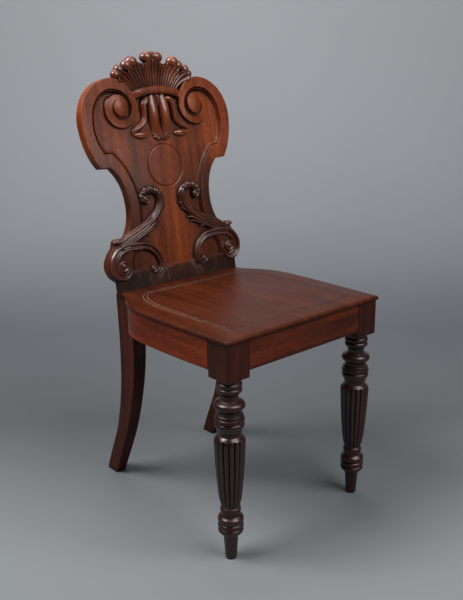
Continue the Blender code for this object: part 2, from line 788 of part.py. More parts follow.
# Back board: shaped outline, sunk panel, roundel, and a bead and raised eye in each volute
def build_back_board():
    board = prism("back_board", board_outline(), -board_thickness, 0.0)
    cut(board, panel_room("panel", 0.0))
    centre = (0.0, roundel_rise)
    groove_bottom = ground - roundel_groove_depth
    top = cut_overrun
    ring = lathe("ring", centre, [(groove_bottom, roundel_radius), (top, roundel_radius)], 2 * round_sides)
    inner = roundel_radius - roundel_groove
    core = lathe("core", centre, [(groove_bottom - bury, inner), (top + bury, inner)], 2 * round_sides)
    cut(board, cut(ring, core))
    low = -upper_ground_depth - bury
    for side in (-1, 1):
        eye = [(low, eye_radius), (eye_height, eye_radius), (eye_height + bury, eye_radius - edge_lip)]
        unite(board, lathe("eye", (side * volute_x, volute_rise), eye, turned_sides))
        unite(board, bead_solid("bead", side, 0.0))
        cut(board, crest_dowel("dowel_hole", side * crest_dowel_spread, joint_gap))
    place_on_back(board)
    cut(board, box("level", (-overall_depth, back_y - overall_depth, support_height - overall_depth),
                   (overall_depth, back_y + overall_depth, support_height)))
    for x in dowel_places():
        cut(board, back_dowel("dowel_hole", x, joint_gap))
    return polished_mahogany(shade_round(board))


# Radius of the fan at an angle, with a dip between the lobes
def fan_reach(angle_degrees):
    reach = fan_lobe_shares[-1][2] * fan_dip_share
    for middle, half_angle, share in fan_lobe_shares:
        offset = (abs(angle_degrees) - middle) / half_angle
        if abs(offset) <= 1.0:
            reach = share * (fan_dip_share + (1 - fan_dip_share) * math.cos(offset * math.pi / 2))
    return reach * back_height


# One line of the fan: it leaves the band steeply and flares out to its tip
def fan_line(across):
    angle = across * fan_half_angle
    foot = Vector((fan_foot_half_width * across, fan_foot_rise - fan_foot_fall * across ** 2))
    reach = fan_reach(math.degrees(angle))
    tip = Vector((reach * math.sin(angle), fan_origin_rise + reach * math.cos(angle)))
    leave = angle * fan_flare_share
    bend = foot + Vector((math.sin(leave), math.cos(leave))) * (tip - foot).length * fan_rise_share
    return [foot * (1 - t) ** 2 + bend * 2 * t * (1 - t) + tip * t ** 2 for t in fan_row_shares]


# Shell crest: reeded fan, five rolled tips and the arched band at its foot
def build_crest():
    columns = fan_reeds * points_per_fan_reed
    back = -board_thickness + crest_back_setback
    front = back + crest_block_depth
    mesh_data = bmesh.new()
    grid = []
    for column in range(columns + 1):
        crown = 0.0 if column % points_per_fan_reed == 0 else fan_reed_height
        line = fan_line(2 * column / columns - 1)
        row = [mesh_data.verts.new((*line[0], back))]
        for point, share in zip(line, fan_row_shares):
            row.append(mesh_data.verts.new((*point, front + fan_lift * share + crown)))
        row.append(mesh_data.verts.new((*line[-1], back)))
        grid.append(row)
    for here, after in zip(grid, grid[1:]):
        for index in range(len(here)):
            mesh_data.faces.new((here[index - 1], here[index], after[index], after[index - 1]))
    mesh_data.faces.new(grid[0])
    mesh_data.faces.new(grid[-1])
    crest = make_object("shell_crest", mesh_data)
    for degrees, reach_share, length_share, depth_share in tip_place_shares:
        for side in ((1,) if degrees == 0 else (-1, 1)):
            angle = side * math.radians(degrees)
            reach = reach_share * back_height
            centre = (reach * math.sin(angle), fan_origin_rise + reach * math.cos(angle),
                      -depth_share * board_thickness)
            sizes = (length_share * back_height, tip_radial, tip_half_depth)
            unite(crest, ellipsoid("tip", centre, sizes, -angle))
    band_end = band_half_span + cut_overrun
    end_rise = back_height * ear_shares[-1][1]
    middle_rise = crest_seat_rise + band_half_width
    arch = smooth([(-band_end, end_rise), (0.0, middle_rise), (band_end, end_rise)], small_sides // 2)
    width = np.full(len(arch), band_half_width)
    band = stroke("band", arch, width, flat_section_shares, back, np.full(len(arch), band_front), 1)
    unite(crest, band)
    room = inset(board_outline(), -joint_gap)
    cut(crest, prism("board", room, -board_thickness - cut_overrun, cut_overrun))
    for side in (-1, 1):
        cut(crest, crest_dowel("dowel_hole", side * crest_dowel_spread, joint_gap))
    return dark_mahogany(shade_round(place_on_back(crest)))


# Room for the board under a carving: border plane, sunk panel and bead
def board_clearance(side):
    plate = box("plate", (-overall_depth, -overall_depth, -board_thickness),
                (overall_depth, overall_depth, joint_gap))
    cut(plate, panel_room("panel", joint_gap))
    return unite(plate, bead_solid("bead", side, joint_gap))


# Rounded boss, straight at the side and stepped in to a small flat top
def dome(name, centre_shares, radius, proud, side):
    x, y = side * centre_shares[0] * ear_half_width, centre_shares[1] * back_height
    profile = [(base, radius)] + [(proud - drop * radius, share * radius) for drop, share in dome_profile_shares]
    return lathe(name, (x, y), profile, small_sides)


def planted_ellipsoid(name, shares, half_length, half_width, proud, low, side):
    centre = (side * shares[0] * ear_half_width, shares[1] * back_height, low)
    return ellipsoid(name, centre, (half_length, half_width, proud - low), 0.0)


# Scroll carving: C-scroll with its eye, acanthus leaf of five points, hooked curl and knob
def build_scroll_carving(name, side):
    def carve(rows, steps, section, proud):
        return carved_stroke(name, rows, steps, section, base, proud, side)

    carving = carve(c_scroll_shares, carving_steps, hollow_section_shares, carving_proud)
    unite(carving, carve(leaf_shares, carving_steps, round_section_shares, leaf_proud))
    unite(carving, carve(curl_shares, carving_steps, round_section_shares, curl_proud))
    for rows in leaflet_shares:
        unite(carving, carve(rows, 1, round_section_shares, leaflet_proud))
    unite(carving, dome("eye", scroll_eye_shares, scroll_eye_radius, scroll_eye_proud, side))
    unite(carving, dome("eye", curl_eye_shares, curl_eye_radius, curl_eye_proud, side))
    unite(carving, dome("eye", small_eye_shares, small_eye_radius, curl_eye_proud, side))
    unite(carving, planted_ellipsoid("knob", knob_shares, knob_length, knob_width, carving_proud, 0.0, side))
    cut(carving, board_clearance(side))
    return dark_mahogany(shade_round(place_on_back(carving)))


# Pendant: two drooping leaves with folded ends and a curled tendril on each side
def build_pendant():
    def carve(name, rows, steps, proud, side):
        return carved_stroke(name, rows, steps, round_section_shares, upper_base, proud, side)

    pendant = carve("pendant_leaf", pleat_shares, 1, pendant_proud, 1)
    for side in (-1, 1):
        pieces = [carve("lobe", pendant_lobe_shares, 1, pendant_proud, side),
                  carve("tendril", tendril_shares, carving_steps, tendril_proud, side)]
        for end in ((bud_shares, bud_length, bud_width), (fold_shares, fold_length, fold_width)):
            pieces.append(planted_ellipsoid("end", *end, bud_proud, upper_base, side))
        for piece in pieces:
            combine(pendant, piece, "UNION", True)
    combine(pendant, board_clearance(1), "DIFFERENCE", True)
    return dark_mahogany(shade_round(place_on_back(pendant)))


# Dowels up the rake of the back, and dowels between the board and the crest block
def dowel_places():
    span = rear_leg_outer - rear_leg_width - 2 * glue_block_side
    return [span * share for share in dowel_place_shares]


def pin(name, length, radius, grow):
    half = length / 2 + grow
    return lathe(name, (0.0, 0.0), [(-half, radius + grow), (half, radius + grow)], pin_sides)


def back_dowel(name, x, grow):
    dowel = pin(name, dowel_length, dowel_radius, grow)
    dowel.location = (x, back_y + board_thickness / 2 / math.cos(rake) - seat_thickness * math.tan(rake),
                      support_height)
    dowel.rotation_euler = (-rake, 0.0, 0.0)
    return dowel


def build_back_dowels():
    for index, x in enumerate(dowel_places()):
        bare_wood(back_dowel("back_dowel_" + str(index + 1), x, 0.0))


def crest_dowel(name, x, grow):
    dowel = pin(name, crest_dowel_length, crest_dowel_radius, grow)
    level = -board_thickness + crest_back_setback + crest_block_depth / 2
    lying = Matrix.Rotation(math.pi / 2, 4, "X")
    dowel.data.transform(Matrix.Translation((x, crest_seat_rise, level)) @ lying)
    return dowel


def build_crest_dowel(name, side):
    return bare_wood(place_on_back(crest_dowel(name, side * crest_dowel_spread, 0.0)))


# Corner blocks, notched round the legs and bored for the seat screws
def front_block_plan(side):
    inner_x = leg_outer - leg_block_side - joint_gap
    inner_y = leg_y + leg_block_side / 2 + joint_gap
    rail_y = front_y + seat_overhang + rail_setback + rail_thickness + joint_gap
    rail_x = seat_side_x(inner_y, seat_overhang + rail_thickness) - joint_gap
    plan = [(inner_x, rail_y), (inner_x - front_block_reach, rail_y), (rail_x, inner_y + front_block_reach),
            (rail_x, inner_y), (inner_x, inner_y)]
    return [(side * x, y) for x, y in plan]


def rear_block_plan(side):
    inner_x = rear_leg_outer - rear_leg_width - joint_gap
    rail_y = back_rail_front - joint_gap
    leg_front = rear_front_y - joint_gap
    side_x = seat_side_x(leg_front, seat_overhang + rail_thickness) - joint_gap
    plan = [(inner_x, rail_y), (inner_x - rear_block_reach, rail_y), (side_x, leg_front - rear_block_forward),
            (side_x, leg_front), (inner_x, leg_front)]
    return [(side * x, y) for x, y in plan]


# The screw stands in the middle of the block's triangle, clear of the leg
def screw_place(side, rear):
    plan = rear_block_plan(side) if rear else front_block_plan(side)
    return tuple(np.mean([plan[1], plan[2], plan[-1]], axis=0))


def seat_screw(name, place, grow):
    bottom = frame_top - corner_block_height
    top = support_height + screw_bite
    profile = [(bottom - grow, screw_head_radius + grow),
               (bottom + screw_head_height + grow, screw_radius + grow),
               (top - screw_bite / 2, screw_radius + grow), (top + grow, screw_radius / 2 + grow)]
    screw = lathe(name, (0.0, 0.0), profile, pin_sides)
    screw.location = (*place, 0.0)
    return screw


def build_corner_block(name, side, rear):
    plan = rear_block_plan(side) if rear else front_block_plan(side)
    block = prism(name, plan, frame_top - corner_block_height, frame_top)
    cut(block, seat_screw("bore", screw_place(side, rear), joint_gap))
    return bare_wood(block)


def build_seat_screw(name, side, rear):
    return steel(seat_screw(name, screw_place(side, rear), 0.0))


# Square glue blocks rubbed into the corner between rails and seat
def glue_block(name, low_corner, across, along):
    high = (low_corner[0] + across, low_corner[1] + along, frame_top)
    return bare_wood(box(name, (*low_corner, frame_top - glue_block_side), high))


def build_glue_blocks():
    length, side_length = glue_block_length, glue_block_side
    rail_y = front_y + seat_overhang + rail_setback + rail_thickness + joint_gap
    glue_block("glue_block_rear", (-length / 2, back_rail_front - joint_gap - side_length), length, side_length)
    start = front_y + (seat_depth - length) / 2
    for side, word in ((-1, "left"), (1, "right")):
        glue_block("glue_block_front_" + word, (side * length - length / 2, rail_y), length, side_length)
        x = min(seat_side_x(y, seat_overhang + rail_thickness) for y in (start, start + length)) - joint_gap
        corner = (min(side * x, side * (x - side_length)), start)
        glue_block("glue_block_" + word, corner, side_length, length)


def build_chair():
    clear_scene()
    seat = build_seat()
    build_front_rail()
    build_back_rail()
    for side, word in ((-1, "left"), (1, "right")):
        build_side_rail("side_rail_" + word, side)
        build_front_leg("front_leg_" + word, side)
        build_rear_leg("rear_leg_" + word, side)
        build_scroll_carving("scroll_carving_" + word, side)
        build_crest_dowel("crest_dowel_" + word, side)
        for rear, end in ((False, "front"), (True, "rear")):
            cut(seat, seat_screw("bore", screw_place(side, rear), joint_gap))
            build_corner_block("corner_block_" + end + "_" + word, side, rear)
            build_seat_screw("seat_screw_" + end + "_" + word, side, rear)
    build_back_board()
    build_crest()
    build_pendant()
    build_back_dowels()
    build_glue_blocks()


build_chair()
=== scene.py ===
# Carved mahogany hall chair, about 1835: the looks of every piece
# Metres, +Z up, the front faces -Y; carved pieces are drawn in mm on the face of the back

import math

import bpy
import numpy as np
from mathutils import Matrix, Vector
from mathutils.geometry import delaunay_2d_cdt


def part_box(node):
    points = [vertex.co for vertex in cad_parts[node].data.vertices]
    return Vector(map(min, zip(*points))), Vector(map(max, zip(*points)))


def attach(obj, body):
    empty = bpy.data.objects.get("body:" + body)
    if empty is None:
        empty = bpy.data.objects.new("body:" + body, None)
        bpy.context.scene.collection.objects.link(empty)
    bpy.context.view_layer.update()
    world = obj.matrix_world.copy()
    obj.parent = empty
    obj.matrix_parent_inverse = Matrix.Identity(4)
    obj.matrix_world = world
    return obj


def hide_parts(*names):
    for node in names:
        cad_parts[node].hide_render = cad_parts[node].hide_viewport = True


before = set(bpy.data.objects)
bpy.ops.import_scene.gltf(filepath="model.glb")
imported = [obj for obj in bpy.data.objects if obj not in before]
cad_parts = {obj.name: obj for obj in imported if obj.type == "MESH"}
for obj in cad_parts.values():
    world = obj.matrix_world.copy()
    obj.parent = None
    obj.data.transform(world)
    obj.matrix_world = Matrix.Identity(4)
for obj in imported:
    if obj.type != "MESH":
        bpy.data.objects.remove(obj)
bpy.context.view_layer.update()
mm = 0.001

chair = {
    "rake": 9.77,          # lean of the back, degrees
    "backGap": 0.3,        # the back stands this far behind the seat, mm
    "seatThickness": 10.0,
    "seatOverhang": 3.0,   # the seat stands this far over the frame, mm
}
seatLow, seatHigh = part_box("seat_board")
rake = math.radians(chair["rake"])
backPlace = (Matrix.Translation((0, seatHigh.y + chair["backGap"] * mm, seatHigh.z))
             @ Matrix.Rotation(math.pi / 2 - rake, 4, "X") @ Matrix.Scale(mm, 4))
frontY = seatLow.y


# Shapes

def curve(points, steps):
    # a smooth line through the points, each gap cut in steps
    rows = np.array(points, dtype=float)
    padded = np.vstack([2 * rows[0] - rows[1], rows, 2 * rows[-1] - rows[-2]])
    line = []
    for index in range(1, len(rows)):
        a, b, c, d = padded[index - 1:index + 3]
        for step in range(steps):
            t = step / steps
            line.append(0.5 * (2 * b + (c - a) * t + (2 * a - 5 * b + 4 * c - d) * t ** 2
                               + (3 * b - a - 3 * c + d) * t ** 3))
    line.append(rows[-1])
    return np.array(line)


def mirroredLoop(half):
    right = [tuple(point) for point in half]
    return np.array(right + [(-x, y) for x, y in reversed(right)])


def insetLoop(loop, distance):
    # moves a closed anticlockwise loop inwards
    before = loop - np.roll(loop, 1, axis=0)
    after = np.roll(loop, -1, axis=0) - loop
    normals = []
    for edge in (before, after):
        length = np.maximum(np.linalg.norm(edge, axis=1), 1e-9)[:, None]
        normals.append(np.column_stack([-edge[:, 1], edge[:, 0]]) / length)
    total = normals[0] + normals[1]
    mitreLimit = 0.45
    total /= np.maximum(np.sum(total * normals[0], axis=1), mitreLimit)[:, None]
    return loop + total * distance


def insideLoop(x, y, loop):
    inside = np.zeros(x.shape, dtype=bool)
    for (ax, ay), (bx, by) in zip(loop, np.roll(loop, -1, axis=0)):
        if ay == by:
            continue
        crosses = (y < ay) != (y < by)
        inside ^= crosses & (x < (bx - ax) * (y - ay) / (by - ay) + ax)
    return inside


def smoothStep(value, low, high):
    share = np.clip((value - low) / (high - low), 0.0, 1.0)
    return share * share * (3 - 2 * share)


# slot, and the angle in degrees above which an edge stays sharp, of the pieces in each finish
pieceKinds = {
    "back": ("polished_mahogany", 40.0), "seat": ("polished_mahogany", 40.0),
    "leg": ("polished_mahogany", 32.0), "rearLeg": ("polished_mahogany", 32.0),
    "sideRail": ("polished_mahogany", 32.0),
    "carving": ("dark_mahogany", 50.0), "pendant": ("dark_mahogany", 50.0), "band": ("dark_mahogany", 50.0),
    "crest": ("dark_mahogany", 60.0), "paper": (None, 60.0),
}


def shaded(mesh, kind):
    mesh.shade_smooth()
    mesh.set_sharp_from_angle(angle=math.radians(pieceKinds[kind][1]))


def newPiece(name, points, faces, kind, place=None, replaced=()):
    mesh = bpy.data.meshes.new(name)
    mesh.from_pydata([tuple(point) for point in points], [], [tuple(face) for face in faces])
    if place is not None:
        mesh.transform(place)
    mesh.materials.append(finishes[kind])
    mesh.validate()
    shaded(mesh, kind)
    piece = bpy.data.objects.new(name, mesh)
    bpy.context.scene.collection.objects.link(piece)
    slot = pieceKinds[kind][0]
    if slot:
        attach(piece, "root")
    if replaced:
        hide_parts(*replaced)
    return piece


def settled(piece, kind):
    # the mesh as its modifiers leave it
    graph = bpy.context.evaluated_depsgraph_get()
    mesh = bpy.data.meshes.new_from_object(piece.evaluated_get(graph))
    mesh.name = piece.name
    piece.modifiers.clear()
    piece.data = mesh
    shaded(mesh, kind)


def lighten(piece, kind, share):
    # fewer faces where the surface is flat
    fewer = piece.modifiers.new("fewer faces", "DECIMATE")
    fewer.ratio = share
    settled(piece, kind)


def secondFinish(piece, kind, faces):
    piece.data.materials.append(finishes[kind])
    for index in faces:
        piece.data.polygons[index].material_index = 1


def onEachSide(name, node, points, faces, kind, place):
    # the right piece, then the left one as its mirror image
    pieces = []
    for side, hand in ((1, "_right"), (-1, "_left")):
        turned = faces if side > 0 else [tuple(reversed(face)) for face in faces]
        shown = points * np.array([side, 1, 1])
        pieces.append(newPiece(name + hand, shown, turned, kind, place, [node + hand]))
    return pieces


def bandFaces(first, second, count):
    return [(first + i, first + (i + 1) % count, second + (i + 1) % count, second + i) for i in range(count)]


def stackLoops(loops):
    # a closed solid from loops of equal length, with flat ends
    count = len(loops[0])
    points = np.vstack([np.array(loop, dtype=float) for loop in loops])
    faces = [tuple(reversed(range(count)))]
    for index in range(len(loops) - 1):
        faces += bandFaces(index * count, (index + 1) * count, count)
    faces.append(tuple(range((len(loops) - 1) * count, len(loops) * count)))
    return points, faces


# Relief: heights in mm on a grid over the face of the back

relief = {
    "bare": -99.0,   # height where nothing is raised
    "far": 9.0,      # place across a path where none is near
    "search": 1.6,   # half widths searched beside a path
    "edge": 1.55,    # half widths that a ridge and its skirt reach
    "thin": 0.15,    # least half width, mm
    "skirt": 3.0,    # slope of a ridge beyond its edge
    "least": 0.05,   # heights less than this over a carving's floor are left out, mm
    "under": 0.4,    # a carving goes this far below its floor, mm
}


def newField(left, right, low, high, step):
    x, y = np.meshgrid(np.arange(left, right + step, step), np.arange(low, high + step, step))
    return {"x": x, "y": y, "left": left, "low": low, "step": step}


def readOff(value, rows):
    places, given = zip(*rows)
    return np.interp(value, places, given)


def alongPath(field, path, widths):
    # place across each path as a share of its half width, and place along it from 0 to 1
    across = np.full(field["x"].shape, relief["far"])
    along = np.zeros(field["x"].shape)
    path = np.array(path, dtype=float)
    widths = np.broadcast_to(widths, len(path))
    for i in range(len(path) - 1):
        (ax, ay), (bx, by) = path[i], path[i + 1]
        reach = relief["search"] * max(widths[i], widths[i + 1]) + field["step"]
        part = []
        for a, b, start in ((ay, by, field["low"]), (ax, bx, field["left"])):
            first = int((min(a, b) - reach - start) / field["step"])
            last = int((max(a, b) + reach - start) / field["step"])
            part.append(slice(max(first, 0), max(last + 2, 0)))
        part = tuple(part)
        x, y = field["x"][part] - ax, field["y"][part] - ay
        if x.size == 0:
            continue
        dx, dy = bx - ax, by - ay
        share = np.clip((x * dx + y * dy) / max(dx * dx + dy * dy, 1e-9), 0.0, 1.0)
        width = widths[i] + (widths[i + 1] - widths[i]) * share
        off = np.hypot(x - share * dx, y - share * dy) / width
        nearer = off < np.abs(across[part])
        sign = np.where(dx * y - dy * x >= 0, 1.0, -1.0)
        across[part] = np.where(nearer, off * sign, across[part])
        along[part] = np.where(nearer, (i + share) / (len(path) - 1), along[part])
    return across, along


def carve(field, heights, rows, section, low, skirt=relief["skirt"], ripple=None):
    # raises a ridge: rows are place, half width and crest height in mm
    path = curve(rows, 5)
    widths = np.maximum(path[:, 2], relief["thin"])
    across, along = alongPath(field, path[:, :2], widths)
    places = np.linspace(0, 1, len(path))
    crest, width = np.interp(along, places, path[:, 3]), np.interp(along, places, widths)
    share = readOff(across, section)
    if ripple:
        start, count, depth = ripple
        wave = 0.5 - 0.5 * np.cos(2 * math.pi * count * np.clip((along - start) / (1 - start), 0, 1))
        share = share * (1 - depth * (1 - wave) * (along > start))
    over = np.maximum(np.abs(across) - 1.0, 0.0) * width
    made = low + (crest - low) * share - skirt * over
    np.maximum(heights, np.where(np.abs(across) < relief["edge"], made, relief["bare"]), out=heights)


def scored(field, heights, rows, share, depth, fade=None, steps=5):
    # cuts a groove along the rows, as wide as a share of them, which fades towards their end
    path = curve([(x, y, width * share) for x, y, width, _ in rows], steps)
    across, along = alongPath(field, path[:, :2], path[:, 2])
    cut = depth * np.clip(1 - np.abs(across), 0, 1)
    return heights - (cut * np.clip(fade * (1 - along), 0, 1) if fade else cut)


def boss(field, heights, centre, radius, rows):
    # raises a turned boss: rows are radius share and height
    reach = np.hypot(field["x"] - centre[0], field["y"] - centre[1]) / radius
    end, skirt = rows[-1][0], relief["skirt"]
    made = readOff(reach, rows) - skirt * np.maximum(reach - end, 0) * radius
    np.maximum(heights, np.where(reach < end + skirt / radius, made, relief["bare"]), out=heights)


def softened(heights):
    padded = np.pad(heights, 1, mode="edge")
    return (4 * heights + padded[:-2, 1:-1] + padded[2:, 1:-1] + padded[1:-1, :-2] + padded[1:-1, 2:]) / 8


def heightAt(field, heights, points):
    u = (np.array(points)[:, 0] - field["left"]) / field["step"]
    v = (np.array(points)[:, 1] - field["low"]) / field["step"]
    column = np.clip(u.astype(int), 0, heights.shape[1] - 2)
    row = np.clip(v.astype(int), 0, heights.shape[0] - 2)
    u, v = u - column, v - row
    lower = heights[row, column] * (1 - u) + heights[row, column + 1] * u
    upper = heights[row + 1, column] * (1 - u) + heights[row + 1, column + 1] * u
    return lower * (1 - v) + upper * v


def gridFaces(kept):
    # quads where all four corners are kept, the corners that they use, and where the quads are
    whole = kept[:-1, :-1] & kept[1:, :-1] & kept[:-1, 1:] & kept[1:, 1:]
    used = np.zeros(kept.shape, dtype=bool)
    for part in (used[:-1, :-1], used[1:, :-1], used[:-1, 1:], used[1:, 1:]):
        part |= whole
    number = np.full(kept.shape, -1)
    number[used] = np.arange(used.sum())
    quads = np.stack([number[:-1, :-1], number[:-1, 1:], number[1:, 1:], number[1:, :-1]], axis=-1)[whole]
    return quads, used, whole


def openEdges(quads):
    edges = np.vstack([quads[:, [i, (i + 1) % quads.shape[1]]] for i in range(quads.shape[1])])
    known = {}
    for a, b in edges.tolist():
        if (b, a) in known:
            del known[(b, a)]
        else:
            known[(a, b)] = True
    return list(known)


def closedLimits(count, first=0):
    return [(first + i, first + (i + 1) % count) for i in range(count)]


def fillBetween(flat, limits, wanted):
    # triangles between the limits, kept where wanted says so, and the given points behind each corner
    made = delaunay_2d_cdt([Vector(point) for point in flat], limits, [], 0, 1e-6)
    spots = np.array(made[0])
    corners = np.array([face for face in made[2] if len(face) == 3])
    return spots, made[3], corners[wanted(*spots[corners].mean(axis=1).T)].tolist()


def reliefPatch(field, heights, floor):
    # a closed carving that stands on a flat floor, with its edge below the ground
    quads, used, _ = gridFaces(heights > floor + relief["least"])
    top = np.column_stack([field["x"][used], field["y"][used], heights[used]])
    bottom = top.copy()
    bottom[:, 2] = floor - relief["under"]
    count = len(top)
    faces = quads.tolist()
    faces += [tuple(reversed([corner + count for corner in quad])) for quad in faces]
    faces += [(b, a, a + count, b + count) for a, b in openEdges(quads)]
    return np.vstack([top, bottom]), faces


def bothSides(field, heights):
    whole = np.hstack([heights[:, :0:-1], heights])
    left = -(heights.shape[1] - 1) * field["step"]
    x, y = np.meshgrid(left + np.arange(whole.shape[1]) * field["step"], field["y"][:, 0])
    return {**field, "x": x, "y": y, "left": left}, whole


print("stage: shape tools ready")


# Finishes

def linear(code):
    # sRGB hex as the linear values that Blender works with
    shares = [int(code[i:i + 2], 16) / 255 for i in (1, 3, 5)]
    return tuple(share / 12.92 if share <= 0.04045 else ((share + 0.055) / 1.055) ** 2.4
                 for share in shares) + (1.0,)


def addNode(tree, kind, inputs, stops=(), **settings):
    node = tree.nodes.new(kind)
    for name, value in settings.items():
        setattr(node, name, value)
    for name, value in inputs.items():
        if isinstance(value, bpy.types.NodeSocket):
            tree.links.new(value, node.inputs[name])
        else:
            node.inputs[name].default_value = linear(value) if isinstance(value, str) else value
    for index, (place, shade) in enumerate(stops):
        ramp = node.color_ramp.elements
        stop = ramp[index] if index < len(ramp) else ramp.new(place)
        stop.position = place
        stop.color = linear(shade) if isinstance(shade, str) else (shade, shade, shade, 1.0)
    return node


def fromTo(read, given=(0.0, 1.0)):
    # a range of values, and what its two ends become
    return {"From Min": read[0], "From Max": read[1], "To Min": given[0], "To Max": given[1]}


def newMaterial(name, surface, look):
    # surface adds its own nodes and says what goes into the shader
    material = bpy.data.materials.new(name)
    material.use_nodes = True
    tree = material.node_tree
    tree.nodes.clear()
    inputs = surface(tree, addNode(tree, "ShaderNodeTexCoord", {}).outputs, look)
    shader = addNode(tree, "ShaderNodeBsdfPrincipled", inputs)
    addNode(tree, "ShaderNodeOutputMaterial", {"Surface": shader.outputs["BSDF"]})
    return material


def grainTurn(along, face):
    # turns texture space so that its X runs along the grain
    x = Vector(along).normalized()
    z = Vector(face).normalized()
    y = z.cross(x)
    return Matrix((x, y, x.cross(y))).transposed().to_euler()


# real sizes in m; a range is read between its two values
grain = {
    "figure": (0.30, 0.022, 0.022),     # ribbon figure: about 22 mm wide and 300 mm long
    "streak": (0.070, 0.0022, 0.0022),  # growth streaks, drawn 2 mm wide so that they show
    "pore": (0.011, 0.0009, 0.0009),    # open pores, 0.2 mm in the wood and drawn 0.9 mm wide
    "details": {"figure": 3.0, "streak": 5.0, "pore": 2.0}, "noiseRough": 0.55, "distortion": 0.25,
    "figureRange": (0.30, 0.50, 0.70), "streakRange": (0.34, 0.62), "streakShades": (0.42, 1.0),
    "poreRange": (0.36, 0.43), "poreStrength": 0.35, "poreDepth": 0.0002,
    "cloud": 0.11,                      # patches of darker polish, about 110 mm
    "cloudRange": (0.36, 0.62), "cloudShades": (0.62, 1.0),
    "roughRange": (0.35, 0.65), "roughSpread": (-0.05, 0.09),
    "wave": 0.016, "waveDepth": 0.0012,  # hand-scraped surface, about 16 mm from hollow to hollow
    "grimeFade": 0.008, "grimeRange": (0.3, 0.6), "grimeShares": (0.75, 1.0),
    "facing": (-0.35, 0.05),            # grime only on the side that meets hands and cloths
    "run": (0.055, 0.055, 0.12),        # pale runs of dried polish, about 55 mm apart
    "runBend": 0.625, "runWidth": 0.05, "runRange": (0.44, 0.56),
    "hollowReach": 0.042,               # painted shade darkens the wood this near to a carving
    "hollowRange": (0.92, 0.45), "lowFade": 0.12, "sideRange": (0.028, 0.088),
    "waxShadeReach": 0.013,                 # dark wax and dust gather this near to an inner corner, where shade is also painted
    "waxShadeRange": (0.34, 0.85), "dirtRough": 0.35, "coatRough": 0.14, "coatIor": 1.52, "ior": 1.5,
}


# how one colour goes over another
layer = {"data_type": "RGBA"}
darker = {"data_type": "RGBA", "blend_type": "MULTIPLY"}


